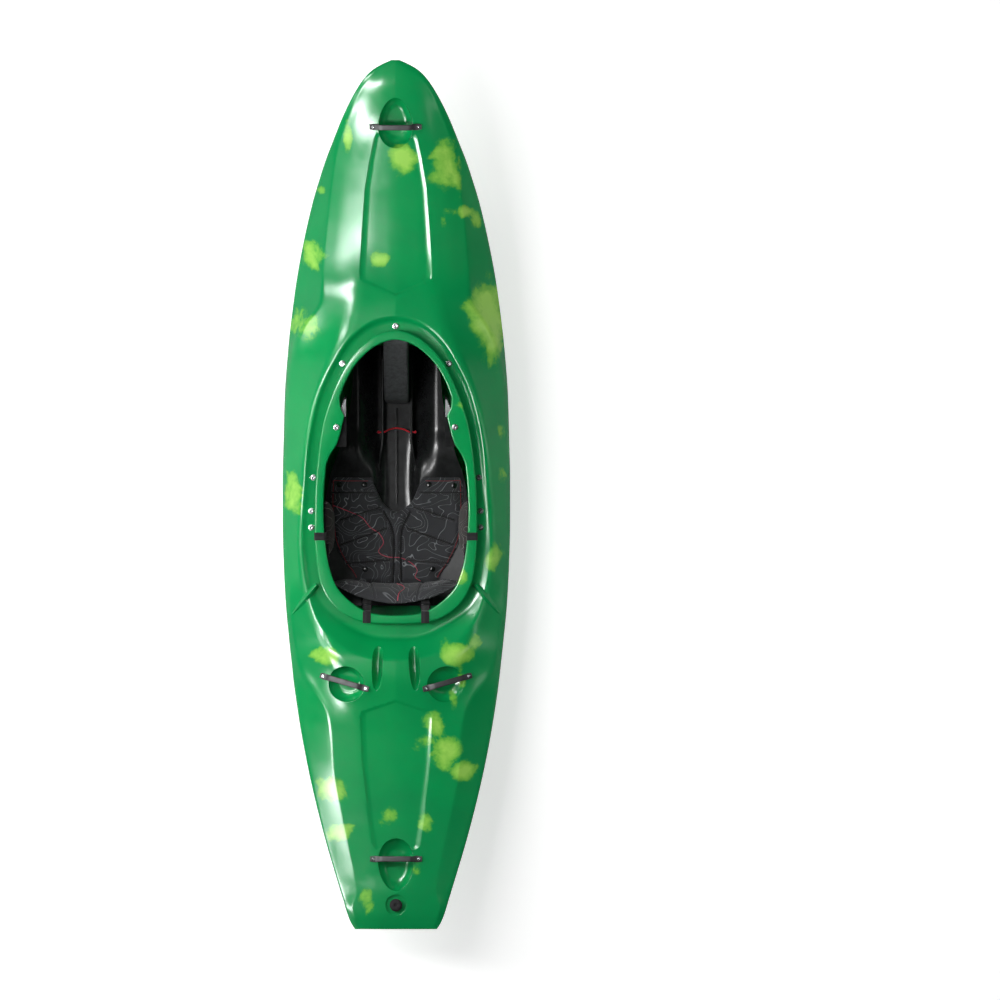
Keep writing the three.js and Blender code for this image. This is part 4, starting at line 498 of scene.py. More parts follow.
def insetCorners(corners, inset):
    if not inset:
        return corners
    edges = []
    for (x, z, _), (x1, z1, _) in zip(corners, corners[1:]):
        length = math.hypot(x1 - x, z1 - z)
        dx, dz = (x1 - x) / length, (z1 - z) / length
        edges.append((x - dz * inset, z + dx * inset, dx, dz))
    shifted = [(0, edges[0][1] - edges[0][0] / edges[0][2] * edges[0][3], 0)]
    for (x, z, radius), a, b in zip(corners[1:-1], edges, edges[1:]):
        cross = a[2] * b[3] - a[3] * b[2]
        if abs(cross) < 0.02:
            shifted.append((b[0], b[1], max(radius - inset, inset)))
        else:
            t = ((b[0] - a[0]) * b[3] - (b[1] - a[1]) * b[2]) / cross
            shifted.append((a[0] + a[2] * t, a[1] + a[3] * t, max(radius - inset, inset)))
    last = edges[-1]
    return shifted + [(0, last[1] - last[0] / last[2] * last[3], 0)]


# point between a corner and the next one where its rounding starts
def roundingFrom(here, other, radius, most=0.46):
    length = np.linalg.norm(other - here)
    return here + (other - here) * min(radius, most * length) / max(length, 1e-9)


# half section from the keel to the middle of the deck, its corners rounded
def halfSection(station, inset, steps, runs):
    corners = insetCorners(sectionCorners(station), inset)
    spots = [np.array(corner[:2]) for corner in corners]
    points = [spots[0]]

    def run(to, count):
        start = points[-1]
        for k in range(1, count + 1):
            points.append(start + (to - start) * k / (count + 1))

    for i in range(1, len(corners) - 1):
        start, end = (roundingFrom(spots[i], other, corners[i][2]) for other in (spots[i - 1], spots[i + 1]))
        run(start, runs[i - 1])
        points.extend(bend(start, spots[i], end, evenly(steps[i - 1])))
    run(spots[-1], runs[-1])
    return np.array(points + [spots[-1]])


# points on each corner and on each run between corners, for the skin and for the cavity in it
skinSteps, skinRuns = [4, 4, 6, 5, 5, 6], [5, 3, 8, 5, 7, 6, 22]
wallSteps, wallRuns = [2, 3, 3, 3, 3, 3], [3, 2, 5, 3, 3, 3, 14]
sheerIndex = 1 + skinRuns[0] + 5 + skinRuns[1] + 5 + skinRuns[2] + 4


# height of the upper skin at a plan point, before anything is pressed into it
def skinHeight(x, y):
    section = halfSection(y / halfLength, 0, skinSteps, skinRuns)[sheerIndex:]
    return float(np.interp(abs(x), section[::-1, 0], section[::-1, 1]))


# closed curve in plan through a half outline and its mirror, evenly spaced
def outline(shares, count):
    half = np.array([(x * halfBeam, y * halfLength) for x, y in shares])
    whole = np.vstack([half, half[-2:0:-1] * (-1, 1)])
    total = len(whole)
    dense = []
    for i in range(total):
        p0, p1, p2, p3 = (whole[(i + k) % total] for k in (-1, 0, 1, 2))
        k1 = np.linalg.norm(p1 - p0) ** 0.5
        k2 = k1 + np.linalg.norm(p2 - p1) ** 0.5
        k3 = k2 + np.linalg.norm(p3 - p2) ** 0.5
        for t in np.linspace(k1, k2, 24, endpoint=False):
            a1 = p0 * (k1 - t) / k1 + p1 * t / k1
            a2 = p1 * (k2 - t) / (k2 - k1) + p2 * (t - k1) / (k2 - k1)
            a3 = p2 * (k3 - t) / (k3 - k2) + p3 * (t - k2) / (k3 - k2)
            b1 = a1 * (k2 - t) / k2 + a2 * t / k2
            b2 = a2 * (k3 - t) / (k3 - k1) + a3 * (t - k1) / (k3 - k1)
            dense.append(b1 * (k2 - t) / (k2 - k1) + b2 * (t - k1) / (k2 - k1))
    dense = np.array(dense + [dense[0]])
    length = np.concatenate([[0], np.cumsum(np.linalg.norm(np.diff(dense, axis=0), axis=1))])
    even = np.linspace(0, length[-1], count, endpoint=False)
    ring = np.column_stack([np.interp(even, length, dense[:, k]) for k in (0, 1)])
    mirror = np.roll(ring[::-1], 1, axis=0) * (-1, 1)
    return (ring + mirror) / 2


def grown(ring, distance):
    run = np.roll(ring, -1, axis=0) - np.roll(ring, 1, axis=0)
    run /= np.linalg.norm(run, axis=1)[:, None]
    normal = np.column_stack([-run[:, 1], run[:, 0]])
    shifted = ring + normal * np.asarray(distance).reshape(-1, 1)
    mirror = np.roll(shifted[::-1], 1, axis=0) * (-1, 1)
    return (shifted + mirror) / 2


def level(ring, height):
    return np.column_stack([ring, [height(y) for y in ring[:, 1]]])


# rows that close a ring towards the centre line, so that a floor follows its height along the boat
def closing(ring, height, steps=(0.0, 0.35, 0.7)):
    return [level(ring * (t, 1), height) for t in steps]


# what is pressed into the deck
pressed = {
    "panelDepth": 0.0042, "panelSlope": 0.0034,
    "bowPanel": [(0, 0.832), (0.165, 0.831), (0.179, 0.824), (0.219, 0.776), (0.263, 0.707), (0.289, 0.61),
                 (0.311, 0.516),
                 (0.305, 0.498), (0, 0.463)],
    "sternPanel": [(0, -0.474), (0.292, -0.498), (0.307, -0.511), (0.294, -0.61), (0.232, -0.751),
                   (0.189, -0.81), (0.16, -0.815), (0, -0.817)],
    "wells": [  # middle, half-widths, depth, taper towards the bow
        (0, 1.157, 0.053, 0.079, 0.036, 0.18), (0, -1.149, 0.055, 0.082, 0.036, -0.12),
        (0.156, -0.587, 0.06, 0.057, 0.034, 0), (-0.156, -0.587, 0.06, 0.057, 0.034, 0)],
    "drain": (0, -1.2744, 0.032, 0.006),
    "fin": {"root": (0.247, -0.276), "tip": (0.326, -0.371), "half": 0.011, "height": 0.0125, "sunk": 0.006},
}


# even points along a half outline with corners and its mirror
def cornered(shares, count):
    half = [(x * halfBeam, y * halfLength) for x, y in shares]
    corners = np.array(half + [(-x, y) for x, y in half[-2:0:-1]] + half[:1])
    length = np.concatenate([[0], np.cumsum(np.linalg.norm(np.diff(corners, axis=0), axis=1))])
    even = np.linspace(0, length[-1], count, endpoint=False)
    return np.column_stack([np.interp(even, length, corners[:, k]) for k in (0, 1)])


def draped(ring, lift):
    return np.column_stack([ring, [skinHeight(x, y) + lift for x, y in ring]])


def panelTool(shares, grow):
    ring = cornered(shares, 360)
    inner = grown(ring, grow - pressed["panelSlope"])
    outer = grown(ring, grow + pressed["panelSlope"])
    low = [draped(inner * (t, 1), -pressed["panelDepth"] - grow) for t in (0, 0.3, 0.6, 0.85, 1)]
    high = [draped(outer * (t, 1), 0.03) for t in (1, 0.5, 0)]
    return tool("panel", loft(low + [draped(outer, 0.0004 - grow)] + high))


def deckTilt(x, y, reach=0.03):
    return math.atan2(skinHeight(x, y + reach) - skinHeight(x, y - reach), 2 * reach)


def deckLean(x, y, reach=0.03):
    lean = math.atan2(skinHeight(abs(x) + reach, y) - skinHeight(abs(x) - reach, y), 2 * reach)
    return math.copysign(1, -x) * lean if x else 0.0


# ball stretched to the given half-sizes that stands on the deck
def ball(name, bm, size, x, y, sunk, turn):
    bmesh.ops.scale(bm, verts=bm.verts, vec=size)
    spot = Matrix.Translation((x, y, skinHeight(x, y) - sunk))
    return tool(name, moved(bm, spot @ Matrix.Rotation(deckTilt(x, y), 4, "X") @ turn))


def wellTool(x, y, rx, ry, depth, taper, grow):
    bm = bmesh.new()
    bmesh.ops.create_uvsphere(bm, u_segments=48, v_segments=28, radius=1)
    for vert in bm.verts:
        vert.co.x *= 1 - taper * vert.co.y
        vert.co.z = max(vert.co.z, -0.8) / 0.8
    turn = Matrix.Rotation(deckLean(x, y), 4, "Y")
    return ball("well", bm, (rx + grow, ry + grow, depth + grow), x, y, 0, turn)


# leaf-shaped ridge from the edge of the groove out to a point
def finTool(side):
    fin = pressed["fin"]
    (ax, ay), (bx, by) = fin["root"], fin["tip"]
    run = Vector((bx - ax, by - ay, 0)).normalized()
    rows = []
    for t in np.linspace(0, 1, 24):
        x, y = ax + (bx - ax) * t, ay + (by - ay) * t
        half = fin["half"] * (0.62 + 0.9 * t - 1.49 * t**2.2) + 0.0006
        high = fin["height"] * (1 - t**1.8) ** 0.8 + 0.0004
        row = []
        for u in (-1, -0.5, 0, 0.5, 1):
            px, py = x - run.y * half * u, y + run.x * half * u
            row.append((px * side, py, skinHeight(px, py) + high * (1 - abs(u)) ** 0.9))
        for u in (1, 0, -1):
            px, py = x - run.y * half * u, y + run.x * half * u
            row.append((px * side, py, skinHeight(px, py) - fin["sunk"]))
        rows.append(row)
    return tool("fin", loft(rows))


def hullRows(count, inset, steps, runs):
    ends = 1 - inset / halfLength * 1.4
    spread = np.linspace(-1, 1, count)
    stations = np.sign(spread) * (1 - (1 - np.abs(spread)) ** 1.06) * ends
    halves = np.array([halfSection(s, inset, steps, runs) for s in stations])
    ys = np.repeat(stations[:, None] * halfLength, halves.shape[1], axis=1)
    right = np.dstack([halves[:, :, 0], ys, halves[:, :, 1]])
    left = right[:, -2:0:-1] * (-1, 1, 1)
    return np.concatenate([right, left], axis=1)


plan = {
    "crest": [
        (0, 0.412), (0.228, 0.398), (0.421, 0.356), (0.544, 0.306), (0.649, 0.25), (0.719, 0.19),
        (0.772, 0.114),
        (0.798, 0.038), (0.823, -0.038), (0.831, -0.103), (0.81, -0.179), (0.757, -0.239), (0.693, -0.285),
        (0.566, -0.326), (0.399, -0.358), (0.215, -0.374), (0, -0.378)],
    "lip": [
        (0, 0.38), (0.158, 0.37), (0.289, 0.345), (0.407, 0.31), (0.494, 0.268), (0.57, 0.22), (0.623, 0.177),
        (0.658, 0.133), (0.68, 0.089), (0.702, 0.029), (0.71, -0.04), (0.71, -0.103), (0.693, -0.158),
        (0.658, -0.204),
        (0.579, -0.243), (0.452, -0.273), (0.289, -0.29), (0, -0.295)],
    "riser": [
        (0, 0.359), (0.171, 0.345), (0.339, 0.306), (0.439, 0.262), (0.5, 0.218), (0.55, 0.17), (0.588, 0.12),
        (0.612, 0.07), (0.633, 0), (0.635, -0.054), (0.62, -0.11), (0.585, -0.165), (0.52, -0.21),
        (0.404, -0.243),
        (0.25, -0.268), (0, -0.276)],
    "hooks": [(0.225, 0.0), (0.202, 0.036), (0.185, 0.088), (0.17, 0.089), (0.142, 0.087), (0.117, 0.072),
              (0.097, 0.028), (0.073, 0.0)],
}
trough = {"wall": 0.014, "rearSlope": 0.066, "slopeShares": (0.2, 0.36), "rearFloor": -0.3,
          "crestRound": 0.007, "footRound": 0.009, "proud": 0.0004, "lid": 0.12}
scoops = {"across": 0.0172, "length": 0.096, "depth": 0.034, "offset": 0.057, "station": -0.383,
          "sunk": 0.004, "turn": 0.05}


def troughRows(grow):
    crest = outline(plan["crest"], 280)
    slope = smoothstep(-crest[:, 1] / halfLength, *trough["slopeShares"])
    width = trough["wall"] + (trough["rearSlope"] - trough["wall"]) * slope
    foot = grown(crest, -width)

    def floor(y):
        return troughHeight(max(y, trough["rearFloor"] * halfLength)) - grow

    top = np.column_stack([grown(crest, grow), [skinHeight(x, y) - grow for x, y in crest]])
    low = level(grown(foot, grow), floor)
    wall = top - low
    wall /= np.linalg.norm(wall, axis=1)[:, None]
    inner = level(grown(foot, grow - trough["footRound"]), floor)
    edge = grown(crest, grow + trough["crestRound"])
    outer = draped(edge, trough["proud"] - grow)
    rows = closing(grown(foot, grow - 0.02), floor)
    rows += bend(inner, low, low + wall * trough["footRound"], (0, 0.3, 0.55, 0.8, 1))
    rows += bend(top - wall * trough["crestRound"], top, outer, evenly(4))
    lid = np.column_stack([edge, outer[:, 2] + trough["lid"]])
    ceiling = lid[:, 2].max() + 0.02
    return rows + [lid] + [level(edge * (t, 1), lambda y: ceiling) for t in (0.98, 0.5, 0.0)]


def prismRows(ring, bottom, top):
    return closing(ring, bottom) + [level(ring, bottom), level(ring, top)] + closing(ring, top)[::-1]


def scoopTool(side, grow):
    bm = bmesh.new()
    bmesh.ops.create_uvsphere(bm, u_segments=32, v_segments=20, radius=1)
    size = [scoops[key] + grow for key in ("across", "length", "depth")]
    turn = Matrix.Rotation(side * scoops["turn"], 4, "Z")
    return ball("scoop", bm, size, side * scoops["offset"], scoops["station"] * halfLength, scoops["sunk"],
                turn)


_, drainY, drainRadius, drainDepth = pressed["drain"]


# cylinder standing on the drain's seat
def drainTool(radius, low, high):
    bm = bmesh.new()
    bmesh.ops.create_cone(bm, cap_ends=True, segments=64, radius1=radius, radius2=radius, depth=high - low,
                          matrix=Matrix.Translation((0, drainY, deckHeight(drainY) + (low + high) / 2)))
    return tool("drain cut", bm)


# all that is pressed into the deck; for the cavity the tools grow by the wall
def press(target, wall=0):
    carve(target, tool("trough", loft(troughRows(wall))))
    for side, _ in sides:
        carve(target, scoopTool(side, wall))
        if not wall:
            carve(target, finTool(side), "UNION")
    for name in ("bowPanel", "sternPanel"):
        carve(target, panelTool(pressed[name], wall))
    for well in pressed["wells"]:
        carve(target, wellTool(*well, wall))
    carve(target, drainTool(drainRadius + wall, -drainDepth - wall, 0.05))


opening = {"gap": 0.0015, "below": 0.03, "above": 0.01, "boreRadius": 0.0172, "boreReach": 0.03}
hull = tool("hull_skin", loft(hullRows(400, 0, skinSteps, skinRuns)))
cavity = tool("cavity", loft(hullRows(120, hullSkin["wall"], wallSteps, wallRuns)))
press(cavity, hullSkin["wall"])
press(hull)
carve(hull, cavity)
riserRing = outline(plan["riser"], 220)
mouth = prismRows(grown(riserRing, opening["gap"]), lambda y: troughHeight(y) - opening["below"],
                  lambda y: rimHeight(y) + opening["above"])
carve(hull, tool("mouth", loft(mouth)))
carve(hull, drainTool(opening["boreRadius"], -opening["boreReach"], opening["boreReach"]))
print("hull carved", len(hull.data.polygons))


# patches of lime in the moulded plastic: middle, half-widths, strength
limePatches = [
    (-0.148, 1.12, 0.016, 0.06, 0.9), (0.022, 1.05, 0.05, 0.045, 1), (0.155, 1.02, 0.055, 0.085, 1),
    (-0.23, 0.955, 0.02, 0.02, 0.7),
    (0.17, 0.885, 0.03, 0.02, 0.85), (0.215, 0.885, 0.03, 0.02, 0.85), (0.245, 0.855, 0.02, 0.035, 0.8),
    (0.15, 0.855, 0.018, 0.035, 0.8), (-0.26, 0.745, 0.045, 0.05, 0.9),
    (-0.047, 0.735, 0.03, 0.035, 0.8), (0.155, 0.765, 0.025, 0.02, 0.4), (0.285, 0.56, 0.075, 0.15, 0.95),
    (-0.285, 0.53, 0.045, 0.055, 0.9),
    (-0.11, 0.53, 0.05, 0.035, 0.4), (0.2, 0.275, 0.02, 0.02, 0.8), (0.33, 0.2, 0.02, 0.05, 0.4),
    (0.335, 0.08, 0.02, 0.05, 0.4),
    (-0.32, 0.0, 0.035, 0.09, 0.7), (0.305, -0.19, 0.03, 0.05, 0.8), (0.205, -0.265, 0.03, 0.05, 0.8),
    (-0.215, -0.5, 0.045, 0.035, 0.9),
    (0.185, -0.49, 0.06, 0.035, 0.9), (0.25, -0.455, 0.03, 0.03, 0.7), (0.205, -0.575, 0.018, 0.045, 0.7),
    (0.18, -0.64, 0.02, 0.05, 0.75),
    (0.125, -0.71, 0.045, 0.05, 0.85), (0.09, -0.765, 0.04, 0.04, 0.8), (0.156, -0.8, 0.055, 0.05, 1),
    (0.215, -0.85, 0.045, 0.035, 0.95), (-0.2, -0.91, 0.05, 0.05, 0.9), (-0.175, -1.05, 0.055, 0.035, 0.9),
    (-0.027, -1.0, 0.035, 0.035, 0.8), (0.094, -1.01, 0.03, 0.04, 0.8), (0.065, -1.155, 0.025, 0.03, 0.7),
    (-0.092, -1.255, 0.035, 0.05, 0.9),
]


def paintLime(made):
    count = len(made.data.vertices)
    places = np.empty(count * 3)
    made.data.vertices.foreach_get("co", places)
    places = places.reshape(-1, 3)
    value = np.zeros(count)
    for x, y, rx, ry, strength in limePatches:
        r = np.hypot((places[:, 0] - x) / rx, (places[:, 1] - y) / ry)
        value = np.maximum(value, strength * 0.8 * (1 - smoothstep(r, 0.1, 1.9)))
    value[places[:, 2] < 0.16] *= 0.6
    layer = made.data.attributes.new("lime", "FLOAT", "POINT")
    layer.data.foreach_set("value", value)


dress(hull, greenHull, "boat", "hull", 35, "hull_shell")
paintLime(hull)

# cockpit rim: a riser out of the groove, and a lip with a thigh hook on each side
rim = {"lipDepth": 0.011, "riserWall": 0.006, "lipRound": 0.0045, "footFlare": 0.012, "braceRoom": 0.0012}
lipRing = outline(plan["lip"], 1200)
riserNormals = grown(riserRing, 1.0) - riserRing


def hookReach(y):
    stations, reaches = zip(*reversed([(s, reach) for s, reach in plan["hooks"]]))
    return halfBeam * float(np.interp(y / halfLength, stations, reaches))


def rimSection(i):
    x, y = riserRing[i]
    nx, ny = riserNormals[i]
    dx, dy = lipRing[:, 0] - x, lipRing[:, 1] - y
    lip = lipRing[np.argmin(np.abs(dx * ny - dy * nx) + 10 * (dx * nx + dy * ny < 0))]
    reach = (lip[0] - x) * nx + (lip[1] - y) * ny
    side = math.copysign(1, x) if abs(x) > 1e-6 else 0
    hook = hookReach(y)
    floor, top = troughHeight(y), rimHeight(y)
    low = top - rim["lipDepth"]
    # room under the rim for the sliding braces
    under = low + rim["braceRoom"] * smoothstep(y, 0.11, 0.15) * (1 - smoothstep(y, 0.33, 0.37))
    wall, lipRound = rim["riserWall"], rim["lipRound"]
    shape = [(0, floor - 0.006, 0), (0, under, 0.004), (-hook, under, 0.003), (-hook, top, lipRound),
             (reach, top, lipRound), (reach, low, 0.003), (wall, low, 0.004), (wall, floor + 0.004, 0.006),
             (wall + rim["footFlare"], floor - 0.003, 0)]
    spots = [np.array(corner[:2]) for corner in shape]
    points = []
    for k, (here, corner) in enumerate(zip(spots, shape)):
        if not corner[2]:
            points.append(here)
            continue
        beside = (spots[k - 1], spots[(k + 1) % len(spots)])
        start, end = (roundingFrom(here, other, corner[2]) for other in beside)
        points += bend(start, here, end, evenly(4))
    # the hook points across the boat, the lip along the riser's normal
    return [(x + d * side, y, z) if d < 0 else (x + nx * d, y + ny * d, z) for d, z in points]


rimRows = [rimSection(i) for i in range(len(riserRing))]
rimSkin = loft(rimRows + rimRows[:1], closed=True, caps=False)
rimPiece = piece("cockpit_rim", rimSkin, greenHull, "boat", "hull", 35, "hull_shell")
paintLime(rimPiece)
print("rim made")


# frame with its x towards one point and its y towards another
def frameOn(origin, acrossTo, aheadTo):
    origin = Vector(origin)
    x = (Vector(acrossTo) - origin).normalized()
    z = x.cross(Vector(aheadTo) - origin).normalized()
    y = z.cross(x)
    turn = Matrix((x, y, z)).transposed().to_4x4()
    turn.translation = origin
    return turn


def levelFrame(x, y, height, reach=0.0095):
    low, high = height(y - reach), height(y + reach)
    origin = Vector((x, y, (low + high) / 2))
    return frameOn(origin, origin + Vector((reach, 0, 0)), origin + Vector((0, reach, (high - low) / 2)))


def skinWidth(y, z):
    section = halfSection(y / halfLength, 0, skinSteps, skinRuns)[1:sheerIndex]
    return float(np.interp(z, section[:, 1], section[:, 0]))


def sideFrame(side, y, z, reach=0.0095):
    origin = Vector((side * skinWidth(y, z), y, z))
    ahead = Vector((side * skinWidth(y + reach, z), y + reach, z))
    up = Vector((side * skinWidth(y, z + reach), y, z + reach))
    return frameOn(origin, ahead, up) if side > 0 else frameOn(origin, up, ahead)


# turned piece: (radius, height) points spun round z, then placed
def turned(profile, steps, place=None):
    bm = bmesh.new()
    verts = [bm.verts.new((r, 0, h)) for r, h in profile]
    edges = [bm.edges.new(pair) for pair in zip(verts, verts[1:])]
    bmesh.ops.spin(bm, geom=verts + edges, cent=(0, 0, 0), axis=(0, 0, 1), angle=2 * math.pi, steps=steps,
                   use_merge=True)
    bmesh.ops.remove_doubles(bm, verts=bm.verts, dist=1e-6)
    bmesh.ops.recalc_face_normals(bm, faces=bm.faces)
    return bm if place is None else moved(bm, place)


def block(size, place, edge):
    bm = bmesh.new()
    bmesh.ops.create_cube(bm, size=1)
    bmesh.ops.scale(bm, verts=bm.verts, vec=size)
    bmesh.ops.bevel(bm, geom=bm.edges[:] + bm.verts[:], offset=edge, affect="EDGES", segments=3, profile=0.5,
                    material=-1)
    return moved(bm, place)


def joined(parts):
    whole = parts[0]
    for part in parts[1:]:
        held = bpy.data.meshes.new("held")
        part.to_mesh(held)
        part.free()
        whole.from_mesh(held)
        bpy.data.meshes.remove(held)
    return whole


# path through points, with its corners rounded
def roundedPath(points, radius, steps=5, most=0.48):
    points = [Vector(p) for p in points]
    path = [points[0]]
    for before, here, after in zip(points, points[1:], points[2:]):
        start, end = (here + (other - here).normalized() * min(radius, (other - here).length * most)
                      for other in (before, after))
        path += bend(start, here, end, evenly(steps))
    return path + [points[-1]]


# smooth path through all points
def flowing(points, steps=8):
    points = [Vector(p) for p in points]
    ends = [2 * points[0] - points[1]] + points + [2 * points[-1] - points[-2]]
    path = []
    for p0, p1, p2, p3 in zip(ends, ends[1:], ends[2:], ends[3:]):
        for k in range(steps):
            t = k / steps
            path.append(0.5 * (2 * p1 + (p2 - p0) * t + (2 * p0 - 5 * p1 + 4 * p2 - p3) * t * t
                               + (3 * p1 - p0 - 3 * p2 + p3) * t**3))
    return path + [points[-1]]


def headings(path):
    spread = [path[0], *path, path[-1]]
    return [(after - before).normalized() for before, after in zip(spread, spread[2:])]


def ribbon(path, across, width, thickness):
    across = Vector(across).normalized()
    w, h = width / 2, thickness / 2
    upper = [(-w, 0), (-w + h * 0.4, h * 0.8), (-w + h, h), (0, h), (w - h, h), (w - h * 0.4, h * 0.8)]
    section = upper + [(-a, -b) for a, b in upper]
    rows = []
    for here, run in zip(path, headings(path)):
        over = run.cross(across).normalized()
        rows.append([here + across * a + over * b for a, b in section])
    return loft(rows)


def tube(path, radius, count):
    rows = []
    for here, run in zip(path, headings(path)):
        side = run.cross(up)
        side = side.normalized() if side.length > 1e-4 else Vector((1, 0, 0))
        over = side.cross(run)
        rows.append([here + (side * math.cos(a) + over * math.sin(a)) * radius
                     for a in np.linspace(0, 2 * math.pi, count, endpoint=False)])
    return loft(rows)


# closed slab between an upper and a lower surface over columns and rows
def slab(columns, rows, upper, lower):
    return loft([[upper(u, v) for u in columns] + [lower(u, v) for u in reversed(columns)] for v in rows])


# share of the crown's height over a cushion, both places from -1 to 1
def puff(u, v):
    return (1 - u**4) * (1 - v**4)


# cushion filled by cloth pressure; each vertex takes the share that its normal allows, and swell at most
def filled(made, voxel, swell, share):
    shaped(made, "REMESH", mode="VOXEL", voxel_size=voxel)
    shaped(made, "SMOOTH", factor=0.6, iterations=4)
    cloth = made.modifiers.new("cloth", "CLOTH")
    cloth.settings.quality = 4
    cloth.settings.mass = 0.3
    cloth.settings.use_pressure = True
    cloth.settings.uniform_pressure_force = 4.0
    cloth.settings.effector_weights.gravity = 0
    cloth.point_cache.frame_start, cloth.point_cache.frame_end = 1, 20
    scene = bpy.context.scene
    for step in range(1, 21):
        scene.frame_set(step)
    result = made.evaluated_get(bpy.context.evaluated_depsgraph_get())
    settled = [v.co.copy() for v in result.to_mesh().vertices]
    result.to_mesh_clear()
    made.modifiers.clear()
    for vert, to in zip(made.data.vertices, settled):
        step = (to - vert.co) * share(vert)
        if step.length > swell:
            step *= swell / step.length
        vert.co += step
    scene.frame_set(1)
    shaped(made, "SMOOTH", factor=0.5, iterations=2)


def surfaceOf(made):
    mesh = made.data
    return BVHTree.FromPolygons([v.co.copy() for v in mesh.vertices],
                                [tuple(p.vertices) for p in mesh.polygons])


def dropOn(tree, x, y):
    return tree.ray_cast(Vector((x, y, 0.6)), down)[0]


# plan points laid on a skin, left out where nothing is below them
def laid(tree, points):
    return [spot for spot in (dropOn(tree, p[0], p[1]) for p in points) if spot is not None]


# groove pressed along lines of points; each vertex near a line sinks against its normal
def pressLines(made, lines, width, depth, facing):
    paths = [np.array([tuple(p) for p in line]) for line in lines]
    facing = Vector(facing)
    for vert in made.data.vertices:
        if vert.normal.dot(facing) < 0.15:
            continue
        here = np.array(vert.co)
        away = 9.0
        for path in paths:
            a, run = path[:-1], np.diff(path, axis=0)
            t = np.clip(((here - a) * run).sum(1) / (run * run).sum(1), 0, 1)
            away = min(away, np.linalg.norm(here - a - run * t[:, None], axis=1).min())
        if away < 2.5 * width:
            vert.co -= facing * depth * math.exp(-(away / width) ** 2)


# seams, smoothing and looks of a cushion; gives its surface
def finished(made, lines, width, depth, facing, cloth, body, source, fill):
    pressLines(made, lines, width, depth, facing)
    shaped(made, "SUBSURF", levels=1, render_levels=1)
    dress(made, cloth, body, "padded_cloth", 60, source, fill)
    return surfaceOf(made)


# foam piece: the solid of a node remeshed and smoothed
def softCopy(name, source, voxel, material, body="boat", rounds=3, fill=None):
    made = placed(name, nodes[source].data.copy())
    bm = bmesh.new()
    bm.from_mesh(made.data)
    bmesh.ops.remove_doubles(bm, verts=bm.verts, dist=1e-5)
    bm.to_mesh(made.data)
    bm.free()
    shaped(made, "REMESH", mode="VOXEL", voxel_size=voxel)
    shaped(made, "SMOOTH", factor=0.6, iterations=rounds)
    return dress(made, material, body, "foam", 60, source, fill)


# bolts and screws: radius and height
boltProfile = [(0, 0.0008), (0.0026, 0.0008), (0.003, 0.0034), (0.0062, 0.0036), (0.0072, 0.0029),
               (0.0075, 0.0012), (0.0093, 0.001),
               (0.0096, 0.0006), (0.0096, -0.0008), (0.003, -0.0008), (0.003, -0.016), (0, -0.016)]
screwProfile = [(0, 0.0007), (0.0015, 0.0008), (0.0018, 0.0024), (0.0036, 0.0024), (0.0047, 0.0012),
                (0.005, 0), (0.0021, 0), (0.0021, -0.02), (0, -0.02)]


boltSpots = [
    ("front_bolt", 0.465, 0.3045, troughHeight), ("side_bolt", 0.725, 0.0427, troughHeight),
    ("hanger_bolt_1", 0.743, -0.0346, troughHeight), ("hanger_bolt_2", 0.743, -0.0727, troughHeight),
    ("thigh_bolt", 0.518, 0.158, rimHeight)]
railSpots = [("rail_bolt_1", 0.458, 0.405), ("rail_bolt_2", 0.424, 0.391)]
boltPlaces = {"pillar_bolt": levelFrame(0, 0.391 * halfLength, troughHeight)}
for side, word in sides:
    for name, x, y, height in boltSpots:
        boltPlaces[f"{word}_{name}"] = levelFrame(side * x * halfBeam, y * halfLength, height)
    for name, y, z in railSpots:
        boltPlaces[f"{word}_{name}"] = sideFrame(side, y * halfLength, z * hullHeight)
for name, place in boltPlaces.items():
    piece("steel_" + name, turned(boltProfile, 30, place), steelBright, "boat", "steel", 30, name)

# grab handles: a flat bar raised on two screwed feet
handle = {
    "length": 0.162, "width": 0.02, "thick": 0.0065, "rise": 0.0125, "foot": 0.021, "screwIn": 0.010,
    "sink": 0.005,
    "lift": 0.002, "ramp": 0.013, "crown": 0.0015, "bend": 0.009, "screwSeat": 0.0052, "tip": 0.006,
    "grip": (0.018, 0.034), "middles": {"bow_handle": 0.848, "stern_handle": -0.838}, "rear": (0.16, -0.43),
    "rearTurn": 0.276}
across = handle["length"] / 2 - handle["screwIn"]
handlePlaces = {}
for name, station in handle["middles"].items():
    y = station * halfLength
    z = skinHeight(across, y)
    ahead = (0, y + across, skinHeight(0, y + across) - skinHeight(0, y) + z)
    handlePlaces[name] = frameOn((0, y, z), (across, y, z), ahead)
for side, word in sides:
    x, y = side * handle["rear"][0], handle["rear"][1] * halfLength
    dx, dy = across * math.cos(handle["rearTurn"]), side * across * math.sin(handle["rearTurn"])
    ends = [Vector((x + t * dx, y + t * dy, skinHeight(x + t * dx, y + t * dy))) for t in (-1, 1)]
    middle = (ends[0] + ends[1]) / 2
    handlePlaces[word + "_rear_handle"] = frameOn(middle, ends[1], middle + Vector((-dy, dx, 0)))


def signedPower(value, power):
    return math.copysign(abs(value) ** power, value)


